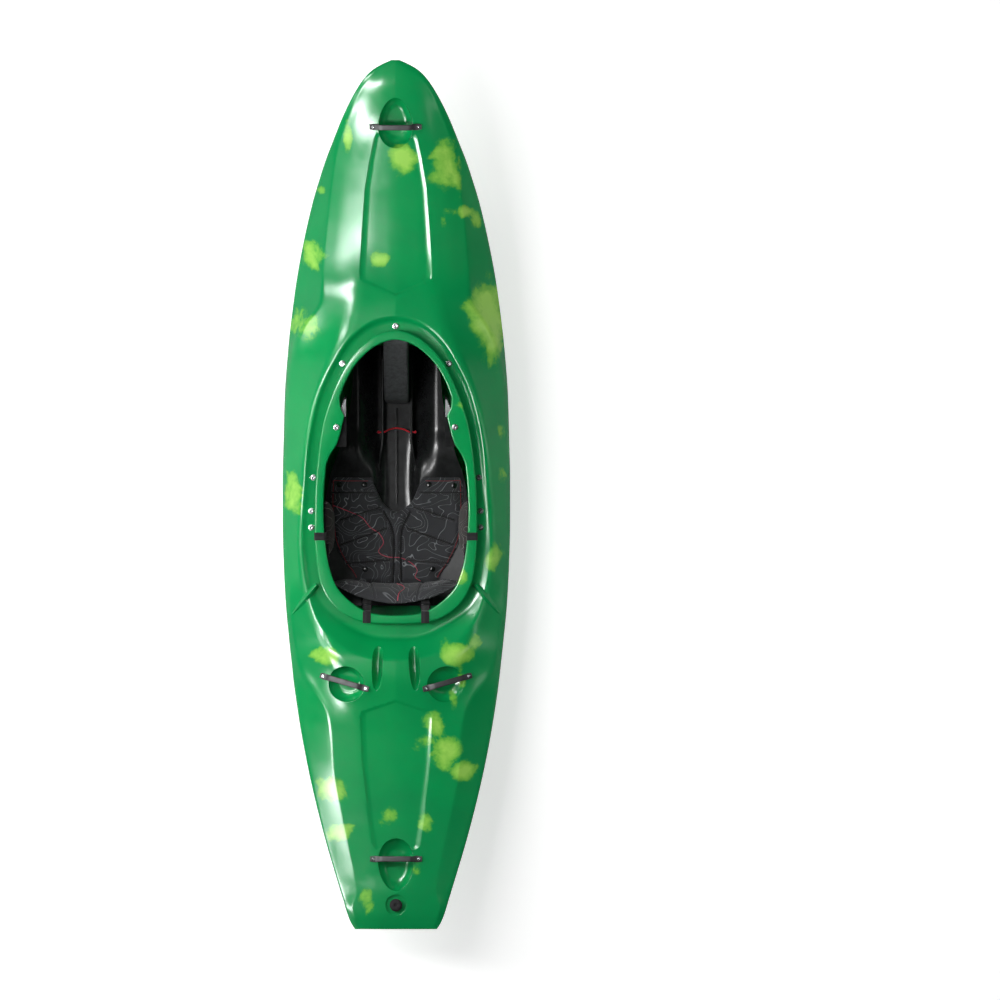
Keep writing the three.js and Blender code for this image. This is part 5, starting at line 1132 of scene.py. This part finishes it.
def handleBar(place):
    half, low, rise = handle["length"] / 2, handle["lift"], handle["rise"]
    foot = half - handle["foot"]
    left = [(-half, 0, low), (-foot, 0, low), (handle["ramp"] - foot, 0, rise)]
    corners = left + [(0, 0, rise + handle["crown"])] + [(-x, y, z) for x, y, z in left[::-1]]
    spine = roundedPath(corners, handle["bend"])
    rows = []
    for here, run in zip(spine, headings(spine)):
        out = Vector((-run.z, 0, run.x))
        end = min((half - abs(here.x)) / handle["tip"], 1)
        grip = smoothstep(half - abs(here.x), *handle["grip"])
        w = handle["width"] / 2 * (0.78 + 0.22 * math.sqrt(max(end, 0))) * (1 - 0.14 * grip)
        t = handle["thick"] / 2
        deep = t + handle["sink"] * (1 - grip)
        row = []
        for k in range(24):
            a = 2 * math.pi * k / 24
            b = signedPower(math.sin(a), 0.5)
            row.append(here + Vector((0, w * signedPower(math.cos(a), 0.45),
                                      0)) + out * (t * b if b > 0 else deep * b))
        rows.append(row)
    return moved(loft(rows), place)


for name, place in handlePlaces.items():
    piece("black_" + name, handleBar(place), mattBlack, "boat", "matt_black_plastic", 50, name)
    for end, number in ((-1, "1"), (1, "2")):
        spot = place @ Matrix.Translation((end * across, 0, handle["screwSeat"]))
        screw = f"{name}_screw_{number}"
        piece("steel_" + screw, turned(screwProfile, 20, spot), steelBright, "boat", "steel", 30, screw)

# drain plug with finger notches round its edge
notches = {"count": 8, "depth": 0.045, "from": 0.0185}
drainBase = Matrix.Translation((0, drainY, deckHeight(drainY) - drainDepth))
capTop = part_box("drain_plug")[1].z - drainBase.translation.z
capFoot = capTop - 0.01
cap = turned([
    (0, capTop - 0.0035), (0.0042, capTop - 0.0035), (0.0055, capTop - 0.001), (0.012, capTop - 0.0004),
    (0.0165, capTop - 0.0016), (0.0195, capFoot + 0.006), (0.0195, capFoot), (0.0118, capFoot),
    (0.0118, capFoot - 0.012), (0, capFoot - 0.012)], 48)
for vert in cap.verts:
    if vert.co.xy.length > notches["from"]:
        turn = math.atan2(vert.co.y, vert.co.x)
        vert.co.xy *= 1 - notches["depth"] * max(math.cos(notches["count"] * turn), 0) ** 2
piece("drain_cap_turned", moved(cap, drainBase), rubberBlack, "drain_cap", "rubber", 40, "drain_plug")
print("bolts, handles and drain made")


# seat moulding, stations and widths as shares
seat = {
    "halfWidth": 0.230, "wall": 0.004, "tray": 0.024, "lobe": 0.038, "bowl": 0.034, "sideRise": 0.026,
    "rearRise": 0.016, "flank": 0.058,
    "plan": [(0.35, 0.56), (0.3, 0.59), (0.22, 0.63), (0.16, 0.7), (0.1, 0.8), (0.05, 0.91), (0, 0.965),
             (-0.04, 1), (-0.15, 1), (-0.2, 0.87),
             (-0.255, 0.66)],
    "ribOffset": 0.045, "ribThick": 0.008, "ribRise": 0.066, "ridgeRise": 0.033,
}


def floorHeight(s):
    return hullHeight * along("keel", s) + 0.005


def seatTop(x, s):
    side = abs(x) / seat["halfWidth"]
    lobe = smoothstep(side, 0.15, 0.34) * smoothstep(-s, -0.16, -0.05)
    flank = smoothstep(side, 0.22, 0.56) * smoothstep(s, 0.02, 0.14)
    front = seat["tray"] + seat["lobe"] * lobe + seat["flank"] * flank
    rear = seat["rearRise"] * smoothstep(-s, 0.17, 0.25)
    back = seat["bowl"] + seat["sideRise"] * smoothstep(side, 0.6, 0.98) + rear
    return float(floorHeight(s) + front + (back - front) * smoothstep(-s, -0.02, 0.08))


seatWidths = faired(seat["plan"], 1, 0.012)


# half the width inside the hull's wall at a height
def roomWidth(s, z):
    section = halfSection(s, 0.0058, wallSteps, wallRuns)
    top = int(np.argmax(section[:, 0]))
    return float(np.interp(z, section[1:top + 1, 1], section[1:top + 1, 0]))


def seatRow(s):
    wide = seat["halfWidth"] * float(np.interp(s, lineStations, seatWidths))
    wide = min(wide, roomWidth(s, seatTop(wide, s) - seat["wall"]))
    across = np.sin(np.linspace(-0.5, 0.5, 61) * math.pi * 0.92) / math.sin(0.46 * math.pi) * wide
    top = [(x, s * halfLength, seatTop(x, s)) for x in across]
    return top + [(x, y, z - seat["wall"]) for x, y, z in top[::-1]]


# strip standing on the tray; halfAt gives its middle and half its section at a station
def strip(stations, halfAt):
    rows = []
    for s in stations:
        x, half = halfAt(s)
        y = s * halfLength
        rows.append([(x - d, y, z) for d, z in half] + [(x + d, y, z) for d, z in half[::-1]])
    return loft(rows)


def stripFoot(s):
    return floorHeight(s) + seat["tray"] - 0.003


def seatRib(side):
    def halfAt(s):
        rise = (1 - 0.35 * smoothstep(-s, -0.11, -0.06)) * (0.72 + 0.28 * smoothstep(0.345 - s, 0, 0.02))
        top, low = floorHeight(s) + seat["ribRise"] * rise, stripFoot(s)
        t = seat["ribThick"] / 2
        x = side * (seat["ribOffset"] + 0.012 * smoothstep(-s, -0.14, -0.06))
        return x, [(t * 1.5, low), (t, low + 0.006), (t, top - 0.003), (t * 0.6, top - 0.0006)]
    return strip(np.linspace(0.345, 0.06, 40), halfAt)


def ridgeAt(s):
    top = floorHeight(s) + seat["ridgeRise"] * (0.8 + 0.2 * smoothstep(0.205 - s, 0, 0.02))
    return 0, [(0.005, stripFoot(s)), (0.002, stripFoot(s) + 0.005), (0.0015, top)]


# backband: a curved pad behind the seat, in front of its plate
band = {"halfWidth": 0.199, "foot": 0.095, "height": 0.140, "edge": 0.010, "crown": 0.015, "end": -0.181,
        "bow": 0.022, "endLean": 0.006,
        "lean": 0.041, "plate": 0.003, "plateGap": 0.0008}


def bandZ(u, v):
    return band["foot"] + band["height"] * v * (1 - 0.18 * u**4)


def bandBack(u, v):
    arc = 1 - u * u
    lean = v * (band["endLean"] + band["lean"] * arc)
    return band["end"] * halfLength - band["bow"] * arc - lean - band["edge"] - band["crown"]


pivotY = bandBack(0.93, 0.2) - band["plateGap"] - 0.008
pivotZ = band["foot"] + band["height"] * 0.2
wingInner = 0.227
wing = {"ear": 0.015, "corner": 0.006, "thick": 0.005, "edge": 0.0012, "flange": 0.054}


# wing at the hip with an ear round the backband's pin
def wingPlate(side):
    front, back = -0.03 * halfLength, -0.148 * halfLength
    ear, low, high = pivotY - wing["ear"], pivotZ - wing["ear"], pivotZ + wing["ear"]
    corner = wing["corner"]
    corners = [
        (front, seatTop(wingInner, -0.03) - 0.004), (front, troughHeight(front) - 0.012),
        (back, troughHeight(back) - 0.012), (back, high + 0.015), (ear + corner, high), (ear, high - corner),
        (ear, low + corner), (ear + corner, low), (back, low - 0.03),
        (back, seatTop(wingInner, -0.148) - 0.004)]
    bm = bmesh.new()
    bm.faces.new([bm.verts.new((0, y, z)) for y, z in corners])
    pushed = bmesh.ops.extrude_face_region(bm, geom=bm.faces[:])["geom"]
    outer = [v for v in pushed if isinstance(v, bmesh.types.BMVert)]
    bmesh.ops.translate(bm, vec=(side * wing["thick"], 0, 0), verts=outer)
    rims = [e for e in bm.edges if abs(e.verts[0].co.x - e.verts[1].co.x) < 1e-6]
    bmesh.ops.bevel(bm, geom=rims, offset=wing["edge"], affect="EDGES", segments=2, profile=0.5, material=-1)
    bmesh.ops.recalc_face_normals(bm, faces=bm.faces)
    return moved(bm, Matrix.Translation((side * wingInner, 0, 0)))


def wingFlange(side):
    inner, outer = side * (wingInner + 0.001), side * (wingInner + wing["flange"])
    rows = []
    for s in np.linspace(-0.02, -0.092, 12):
        y, top = s * halfLength, troughHeight(s * halfLength) - 0.0054
        rows.append([(inner, y, top), (outer, y, top), (outer, y, top - 0.01), (inner, y, top - 0.012)])
    return loft(rows)


seatParts = [loft([seatRow(s) for s in np.linspace(0.35, -0.255, 90)]), seatRib(-1), seatRib(1),
             strip(np.linspace(0.205, -0.02, 30), ridgeAt)]
seatParts += [make(side) for side, _ in sides for make in (wingPlate, wingFlange)]
piece("seat_tray", joined(seatParts), seatBlack, "boat", "black_plastic", 40, "seat_moulding")
print("seat made")


# seat pad: widths, channels as shares, snaps in metres
padCut = {
    "halfWidth": 0.212, "edge": 0.0055, "crown": 0.011, "seatGap": 0.0008, "front": 0.045, "back": -0.21,
    "plan": [(0.045, 0.94), (0.036, 0.99), (-0.02, 1), (-0.09, 0.965), (-0.157, 0.79), (-0.18, 0.68),
             (-0.21, 0.6)],
    "notch": [(0, 0.07), (0.26, 0.07), (0.228, 0.045), (0.175, 0.012), (0.12, -0.015), (0.07, -0.028),
              (0, -0.034)],
    "channels": [
        [(0.97, 0.008), (0.33, 0.008)], [(0.85, -0.0565), (0.246, -0.0265)],
        [(0.836, -0.114), (0.149, -0.075)],
        [(0.746, -0.157), (0.1, -0.149)], [(0.194, -0.036), (0.06, -0.089), (0.06, -0.2)]],
    "snaps": [(-0.1806, 0.0358), (-0.1015, 0.0358), (0.1009, 0.0358), (0.180, 0.0327), (-0.0996, -0.230),
              (0.112, -0.230)],
}
padWidths = faired(padCut["plan"], 1, 0.004)


def padWidth(s):
    return padCut["halfWidth"] * float(np.interp(s, lineStations, padWidths))


def padUnder(u, s):
    x = u * padWidth(s)
    return (x, s * halfLength, seatTop(x, s) + padCut["seatGap"])


def padUpper(u, s):
    x, y, z = padUnder(u, s)
    v = (padCut["front"] - s) / (padCut["front"] - padCut["back"])
    return (x, y, z + padCut["edge"] + padCut["crown"] * puff(u, 2 * v - 1))


padColumns, padRows = list(np.linspace(-1, 1, 49)), list(np.linspace(padCut["front"], padCut["back"], 60))
seatPad = tool("seat_cushion", slab(padColumns, padRows, padUpper, padUnder))
notchRing = outline([(x * 0.98, y) for x, y in padCut["notch"]], 80)
carve(seatPad, tool("notch", loft(prismRows(notchRing, lambda y: -0.05, lambda y: 0.3))))
filled(seatPad, 0.005, 0.006, lambda vert: max(vert.normal.z, 0) ** 0.5)


# shares of the pad's half width and stations, as a smooth path in plan
def onPlan(places, steps, side=1):
    return flowing([(side * x * padCut["halfWidth"], s * halfLength, 0) for x, s in places], steps)


padSkin = surfaceOf(seatPad)
padLines = [laid(padSkin, onPlan(places, 10, side)) for side, _ in sides for places in padCut["channels"]]
padLines = [line for line in padLines if len(line) > 2]
padSkin = finished(seatPad, padLines, 0.0052, 0.0078, (0, 0, 1), seatCloth, "boat", "seat_pad", 0.5)

stitch = {"pitch": 0.0065, "length": 0.0035, "thick": 0.0007, "lift": 0.0004, "margin": 0.004, "above": 0.05,
          "search": 0.12}


# short stitches lying along lines, a little to each side of them
def stitchRows(lines, tree, offset, into):
    bm = bmesh.new()
    for points in lines:
        length = [0]
        for a, b in zip(points, points[1:]):
            length.append(length[-1] + (b - a).length)

        def spotAt(at):
            return Vector([float(np.interp(at, length, [p[k] for p in points])) for k in range(3)])

        for at in np.arange(stitch["margin"], length[-1] - stitch["margin"], stitch["pitch"]):
            here, there = spotAt(at), spotAt(at + stitch["length"])
            run = (there - here).normalized()
            for side in (-1, 1):
                shift = run.cross(into).normalized() * side * offset
                hits = [tree.ray_cast(p + shift - into * stitch["above"], into, stitch["search"])[0]
                        for p in (here, there)]
                if None in hits or (hits[1] - hits[0]).length <= 0.001:
                    continue
                a, b = (hit - into * stitch["lift"] for hit in hits)
                turn = (b - a).normalized().to_track_quat("X", "Z").to_matrix().to_4x4()
                turn.translation = (a + b) / 2
                size = Matrix.Diagonal(((b - a).length, stitch["thick"], stitch["thick"], 1))
                bmesh.ops.create_cube(bm, size=1, matrix=turn @ size)
    return bm


def lifted(points, rise):
    return [p + up * rise for p in points]


# a black cord in each channel: the seam, and painted shade of the groove
seams = [tube(lifted(line, 0.0008), 0.0021, 8) for line in padLines]
piece("seat_cushion_seams_and_shade", joined(seams), seamAndGrooveShadeBlack, "boat", "padded_cloth", 60)
piece("seat_cushion_stitches", stitchRows(padLines, padSkin, 0.0062, down), threadGrey, "boat",
      "padded_cloth", 40)

# piping from the notch round the front corner and along the edge
pipeFront = [(0.067, 0.043)] + [(x, 0.0475) for x in (0.09, 0.13, 0.165)]
pipeEdge = [(padWidth(s) - 0.011, s * halfLength) for s in np.linspace(0.036, -0.19, 40)]
pipes = []
for side, _ in sides:
    drops = laid(padSkin, [(side * x, y) for x, y in pipeFront + pipeEdge])
    pipes.append(tube(flowing(lifted(drops, 0.0002), 4), 0.0013, 8))
piece("seat_cushion_piping", joined(pipes), pipingRed, "boat", "padded_cloth", 60)

# thin coloured thread wandering over the cloth
padThread = [
    (-0.94, -0.022), (-0.74, -0.034), (-0.52, -0.05), (-0.4, -0.072), (-0.26, -0.088), (-0.2, -0.108),
    (-0.27, -0.13), (-0.13, -0.142), (0.06, -0.144), (0.22, -0.157), (0.3, -0.172), (0.27, -0.188),
    (0.35, -0.198)]
threadTube = tube(laid(padSkin, onPlan(padThread, 8)), 0.0012, 6)
piece("seat_cushion_thread", threadTube, threadPink, "boat", "padded_cloth", 60)

snapProfile = [(0, 0.005), (0.004, 0.0047), (0.007, 0.0034), (0.0088, 0.0014), (0.0095, -0.0016),
               (0, -0.0016)]
snaps = []
for x, y in padCut["snaps"]:
    spot, normal = padSkin.ray_cast(Vector((x, y, 0.6)), down)[:2]
    if spot is not None:
        turn = normal.to_track_quat("Z", "Y").to_matrix().to_4x4()
        turn.translation = spot
        snaps.append(turned(snapProfile, 20, turn))
piece("seat_cushion_snaps", joined(snaps), glossBlack, "boat", "black_plastic", 50)
print("seat pad made")

# hip pads on the insides of the wings
hip = {"edge": 0.010, "crown": 0.021, "foot": 0.085, "top": 0.175, "front": -0.0126, "back": -0.139,
       "seams": [(0.105, 0.112), (0.148, 0.142)]}
grid = list(np.linspace(-1, 1, 33))
for side, word in sides:
    def hipPlace(u, v, depth):
        y = ((hip["front"] + hip["back"]) / 2 + (hip["front"] - hip["back"]) / 2 * u) * halfLength
        z = (hip["top"] + hip["foot"]) / 2 + (hip["top"] - hip["foot"]) / 2 * v * (1 - 0.12 * u * u)
        return (side * (wingInner - 0.0005 - depth), y, z)

    pad = tool(word + "_hip_cushion", slab(
        grid, grid, lambda u, v: hipPlace(u, v, hip["edge"] + hip["crown"] * puff(u, v)),
        lambda u, v: hipPlace(u, v, 0)))
    filled(pad, 0.0045, 0.005, lambda vert: max(-vert.normal.x * side, 0) ** 0.5)
    hipSkin = surfaceOf(pad)
    lines = []
    for z0, z1 in hip["seams"]:
        hits = []
        for t in np.linspace(0.06, 0.94, 24):
            y = (hip["front"] + (hip["back"] - hip["front"]) * t) * halfLength
            hits.append(hipSkin.ray_cast(Vector((0, y, z0 + (z1 - z0) * t)), Vector((side, 0, 0)))[0])
        lines.append([hit for hit in hits if hit is not None])
    finished(pad, lines, 0.0045, 0.004, (-side, 0, 0), hipCloth, "boat", word + "_hip_pad", 0.6)
print("hip pads made")

# backband: cushion, seams and thread
bandSeams = [[(0.33, 1.0), (0.44, 0.0)], [(0.41, 0.62), (0.72, 0.72), (0.96, 0.66)],
             [(0.43, 0.28), (0.72, 0.3), (0.96, 0.34)]]


def bandUnder(u, v):
    return (u * band["halfWidth"], bandBack(u, v), bandZ(u, v))


def bandUpper(u, v):
    x, y, z = bandUnder(u, v)
    return (x, y + (band["edge"] + band["crown"] * puff(u, 2 * v - 1)) * 0.92, z)


bandPad = tool("backband_cushion", slab(
    list(np.linspace(-1, 1, 81)), list(np.linspace(0, 1, 33)), bandUpper, bandUnder))
filled(bandPad, 0.005, 0.006, lambda vert: max(vert.normal.y, 0) ** 0.5)


def onBand(tree, points):
    hits = [tree.ray_cast(Vector((p.x * band["halfWidth"], 0.1, bandZ(p.x, p.y))), Vector((0, -1, 0)))[0]
            for p in points]
    return [hit for hit in hits if hit is not None]


bandSkin = surfaceOf(bandPad)
bandLines = []
for side, _ in sides:
    for points in bandSeams:
        dense = flowing([(side * u, v, 0) for u, v in points], 10)
        bandLines.append(onBand(bandSkin, [Vector((p.x, min(max(p.y, 0.03), 0.97), 0)) for p in dense]))
bandSkin = finished(bandPad, bandLines, 0.0045, 0.0052, (0, 1, 0), seatCloth, "backband", "backband_pad", 0.6)
bandThread = [(0.02, 0.97), (0.05, 0.8), (0.12, 0.62), (0.1, 0.42), (0.01, 0.25), (0.03, 0.06)]
threadTube = tube(onBand(bandSkin, flowing([(u, v, 0) for u, v in bandThread], 8)), 0.0012, 6)
piece("backband_thread", threadTube, threadPink, "backband", "padded_cloth", 60)
bandStitches = stitchRows(bandLines, bandSkin, 0.006, Vector((0, -1, 0)))
piece("backband_stitches", bandStitches, threadGrey, "backband", "padded_cloth", 40)
print("backband made")

# webbing over the rim, at the sides and from the rear to the backband
web = {
    "width": 0.025, "thick": 0.0021, "gap": 0.0013, "back": 0.015, "sideY": -0.0934 * halfLength,
    "sideFoot": 0.1745,
    "rearX": 0.091, "rearRise": 0.038, "bandShare": 0.7, "round": 0.005}
lipHalf, riserHalf = outline(plan["lip"], 600), outline(plan["riser"], 600)


def outlineX(ring, y):
    right = ring[ring[:, 0] > 0]
    return float(right[np.argmin(np.abs(right[:, 1] - y)), 0])


def outlineRear(ring, x):
    rear = ring[ring[:, 1] < -0.1]
    return float(rear[np.argmin(np.abs(rear[:, 0] - x)), 1])


# hook of webbing over the lip: its free end, under the lip, over it and back at the riser
def overLip(y):
    return rimHeight(y) + web["gap"], rimHeight(y) - rim["lipDepth"] - web["gap"]


def webbing(name, points, across, body, source):
    strap = ribbon(roundedPath(points, web["round"]), across, web["width"], web["thick"])
    return piece(name, strap, strapCloth, body, "webbing", 50, source)


# bars of the rear buckle: size, places in its plane and edge
buckle = [((0.005, 0.024, 0.006), [(-0.0135, 0, 0), (0.0135, 0, 0)], 0.0014),
          ((0.024, 0.0045, 0.0052), [(0, -0.0095, 0.0005), (0, 0, 0.0026), (0, 0.0095, 0.0005)], 0.0012)]
for side, word in sides:
    y = web["sideY"]
    inner, outer = side * (outlineX(riserHalf, y) - web["gap"]), side * (outlineX(lipHalf, y) + web["gap"])
    top, under = overLip(y)
    loop = [(outer - side * web["back"], y, under), (outer, y, under), (outer, y, top), (inner, y, top),
            (inner, y, web["sideFoot"])]
    half = web["width"] / 2
    slope = (0, 1, (rimHeight(y + half) - rimHeight(y - half)) / web["width"])
    webbing(word + "_side_webbing", loop, slope, "boat", word + "_side_strap")

    x = side * web["rearX"]
    back = outlineRear(lipHalf, web["rearX"]) - web["gap"]
    front = outlineRear(riserHalf, web["rearX"]) + web["gap"]
    top, under = overLip(back)
    u = (web["rearX"] - half) / band["halfWidth"]
    endY = bandBack(u, web["bandShare"]) - band["plateGap"] - band["plate"] - web["gap"]
    end = Vector((x, endY, bandZ(u, web["bandShare"])))
    tail = [(x, back + web["back"], under), (x, back, under), (x, back, top), (x, front, top),
            (x, front, top - web["rearRise"]), end]
    strap = webbing(word + "_rear_webbing", tail, (1, 0, 0), None, word + "_rear_strap")
    start = Vector((x, front - 0.005, top - web["rearRise"]))
    run, right = (end - start).normalized(), Vector((1, 0, 0))
    turn = Matrix((right, run, right.cross(run))).transposed().to_4x4()
    turn.translation = (start + end) / 2
    bars = [block(size, turn @ Matrix.Translation(at), edge) for size, spots, edge in buckle for at in spots]
    clasp = piece(word + "_rear_buckle", joined(bars), glossBlack, None, "black_plastic", 40)
    for made in (strap, clasp):
        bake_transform(made)
print("webbing made")

# ladder straps from the ratchets to the backband's ends
ladder = {"z": 0.19, "half": 0.00095, "gap": 0.0003, "plate": 0.0035, "station": -0.111, "box": 0.048,
          "round": 0.012,
          "pitch": 0.0025, "step": 0.0012, "tooth": 0.0005, "core": 0.0008, "width": 0.008, "behind": 0.0075,
          "ahead": 0.003}
for side, word in sides:
    front = ladder["station"] * halfLength
    back = front - ladder["box"]
    runX = side * (wingInner - ladder["plate"] - 2 * ladder["gap"] - ladder["half"])
    bandX = side * (band["halfWidth"] + ladder["gap"] + ladder["half"])
    bandY = bandBack(1, web["bandShare"])
    start, end = (runX, back, ladder["z"]), (bandX, bandY + ladder["behind"], ladder["z"])
    corners = roundedPath([(runX, front - ladder["gap"], ladder["z"]), start, end,
                           (bandX, bandY - ladder["ahead"], ladder["z"])], ladder["round"])
    path = []
    for a, b in zip(corners, corners[1:]):
        count = max(int((b - a).length / ladder["step"]), 1)
        path += [a + (b - a) * k / count for k in range(count)]
    rows = []
    travel = 0.0
    t, w = ladder["core"], ladder["width"]
    for here, before, run in zip(path, [path[0], *path], headings(path)):
        out = up.cross(run) * side
        travel += (here - before).length
        tooth = t + ladder["tooth"] * abs(math.sin(travel / ladder["pitch"] * math.pi))
        section = ((tooth, -0.7), (tooth, 0.7), (0, 1), (-t, 0.9), (-t, -0.9), (0, -1))
        rows.append([here + out * a + up * (w * b) for a, b in section])
    strap = piece(word + "_ladder", loft(rows), mattBlack, None, "matt_black_plastic", 25,
                  word + "_ladder_strap")
    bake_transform(strap)

# foam pillars, kept below the deck, the bow one with a rounded end
pillarRound = 0.016
for name, source in (("bow_foam_pillar", "bow_pillar"), ("stern_foam_pillar", "stern_pillar")):
    verts = softCopy(name, source, 0.006, foamGrey).data.vertices
    for vert in [v for v in verts if v.normal.z > 0.2]:
        vert.co.z = min(vert.co.z, skinHeight(vert.co.x, vert.co.y) - pressed["panelDepth"] - 0.0062)
    if source == "bow_pillar":
        end, wide = min(v.co.y for v in verts), max(abs(v.co.x) for v in verts)
        for vert in verts:
            short = max(pillarRound - (vert.co.y - end), 0)
            room = wide - pillarRound + math.sqrt(max(pillarRound**2 - short**2, 0))
            if abs(vert.co.x) > room:
                vert.co.x = math.copysign(room, vert.co.x)

# pads on the braces and on the foot plates
for _, word in sides:
    softCopy(word + "_brace_cushion", word + "_thigh_pad", 0.0025, foamBlack, word + "_thigh", 4, 0.7)
    softCopy(word + "_foot_cushion", word + "_foot_pad", 0.005, foamBlack, word + "_foot", 3, 0.9)

# patch of hook tape on the front of each brace
hookPatch = {"inner": 0.1545, "back": 0.246, "front": 0.3, "lift": 0.0012, "fuzz": 0.0005, "sole": 0.0002,
             "margin": 0.003, "edge": ([0.232, 0.2754, 0.3065], [0.1888, 0.171, 0.1593])}
for side, word in sides:
    under = surfaceOf(nodes[word + "_thigh_brace"])
    rows = []
    for y in np.linspace(hookPatch["back"], hookPatch["front"], 34):
        ragged = 0.0012 * math.sin(y * 900) + 0.0009 * math.sin(y * 2300)
        xs = np.linspace(hookPatch["inner"], np.interp(y, *hookPatch["edge"]) - hookPatch["margin"] + ragged,
                         14)
        spots = laid(under, [(side * x, y) for x in xs])
        if len(spots) < len(xs):
            continue
        lifts = [hookPatch["lift"] + hookPatch["fuzz"] * math.sin(x * 3100 + y * 1700) for x in xs]
        rows.append([p + up * lift for p, lift in zip(spots, lifts)] + lifted(spots[::-1], hookPatch["sole"]))
    piece(word + "_hook_patch", loft(rows), hookGrey, word + "_thigh", "foam", 60)


# red cord knotted outside the seat's rails
cord = {"radius": 0.0025, "reach": 0.058, "knot": 0.0046, "bow": 0.012, "station": 0.149, "drop": 0.009}
cordY = cord["station"] * halfLength
cordZ = floorHeight(cord["station"]) + seat["ribRise"] - cord["drop"]
cordPath = flowing([(u * cord["reach"], cordY + v * cord["bow"], cordZ) for u, v in (
    (-1, 0), (-0.84, 0), (-0.68, 0), (-0.35, 0.75), (0, 1), (0.35, 0.75), (0.68, 0), (0.84, 0), (1, 0))], 6)
knots = []
for side, _ in sides:
    knot = bmesh.new()
    bmesh.ops.create_uvsphere(knot, u_segments=16, v_segments=10, radius=cord["knot"],
                              matrix=Matrix.Translation((side * cord["reach"], cordY, cordZ)))
    for vert in knot.verts:
        vert.co += up * 0.0006 * math.sin(vert.co.y * 1400 + vert.co.z * 900)
    knots.append(knot)
tieCord = piece("tie_cord_red", joined([tube(cordPath, cord["radius"], 12)] + knots), cordRed, "boat",
                "red_cord", 60,
                "tie_cord")


# CAD nodes that stay, each with its own finish
kept = {
    "drain_collar": glossBlack, "drain_gasket": rubberBlack, "backband_plate": mattBlack,
    "left_ratchet_base": glossBlack, "right_ratchet_base": glossBlack, "left_ratchet_lever": mattBlack,
    "right_ratchet_lever": mattBlack,
    "left_thigh_brace": braceBlackWithPaintedShade, "right_thigh_brace": braceBlackWithPaintedShade, "left_foot_rail": aluminiumSatin,
    "right_foot_rail": aluminiumSatin,
    "left_foot_plate": aluminiumSatin, "right_foot_plate": aluminiumSatin,
}
for name, material in kept.items():
    made = nodes[name]
    made.data.materials.clear()
    made.data.materials.append(material)
print("fittings made")


# studio: power in watts; bounce is what it lights directly, mirror what shows in reflections
def areaLight(name, place, aim, size, power, bounce, mirror):
    light = bpy.data.lights.new(name, "AREA")
    light.shape = "RECTANGLE"
    light.size, light.size_y = size
    light.energy = power
    made = placed(name, light)
    made.location = place
    made.rotation_euler = (Vector(aim) - Vector(place)).to_track_quat("-Z", "Y").to_euler()
    made.visible_diffuse, made.visible_glossy = bounce, mirror


for row in (
        ("left softbox", (-2.5, 0.1, 2.7), (0, 0, 0.2), (0.85, 4.6), 165, True, False),
        ("left halo", (-2.4, 0.1, 2.7), (0, 0, 0.2), (0.8, 4.6), 85, False, True),
        ("bow shine", (-1.5, 0.35, 2.7), (0, 0.35, 0.3), (0.34, 1.8), 105, False, True),
        ("shoulder shine", (-2.5, 1.9, 2.65), (0, 1.2, 0.3), (0.4, 1.6), 95, False, True),
        ("stern shine", (-2.3, -1.5, 2.6), (0, -1.2, 0.3), (0.35, 2.4), 125, False, True),
        ("right strip", (3.1, -0.2, 1.9), (0, 0, 0.2), (0.4, 4.2), 12, True, True),
        ("right fill", (2.6, -0.2, 2.6), (0, 0, 0.2), (1.6, 4.2), 26, True, False),
        ("bow light", (-0.5, 3.4, 2.2), (0, 0.2, 0.2), (2.0, 0.8), 26, True, False)):
    areaLight(*row)

# world: strength for other rays, what the camera adds and what glossy rays lose
skyGlow = {"base": 0.1, "camera": 0.9, "glossy": -0.08}
world = bpy.data.worlds.new("studio")
bpy.context.scene.world = world
world.use_nodes = True
sky = world.node_tree
back = sky.nodes["Background"]
back.inputs["Color"].default_value = (1, 1, 1, 1)
rays = node(sky, "LightPath").outputs
seen = calc(sky, "MULTIPLY", rays["Is Camera Ray"], skyGlow["camera"])
lost = calc(sky, "MULTIPLY", rays["Is Glossy Ray"], skyGlow["glossy"])
strength = calc(sky, "ADD", calc(sky, "ADD", seen, skyGlow["base"]), lost)
sky.links.new(strength, back.inputs["Strength"])

# floor: pale, a little brighter to the camera and greyer in reflections
floorLook = {"pale": (0.86, 0.86, 0.86), "grey": (0.4, 0.4, 0.4), "glow": 0.5, "half": 7}
floorMaterial, floorTree, floorShader, _ = blank("pale floor", floorLook["pale"], 0.9)
floorShader.inputs["Specular IOR Level"].default_value = 0.0
floorShader.inputs["Emission Color"].default_value = (1, 1, 1, 1)
rays = node(floorTree, "LightPath").outputs
feed(floorShader, "Emission Strength", calc(floorTree, "MULTIPLY", rays["Is Camera Ray"], floorLook["glow"]))
feed(floorShader, "Base Color", mix(floorTree, rays["Is Glossy Ray"], floorLook["pale"], floorLook["grey"]))
ground = bmesh.new()
bmesh.ops.create_grid(ground, x_segments=2, y_segments=2, size=floorLook["half"])
floorPiece = piece("floor", ground, floorMaterial, None)
bpy.context.scene.view_settings.view_transform = "Standard"
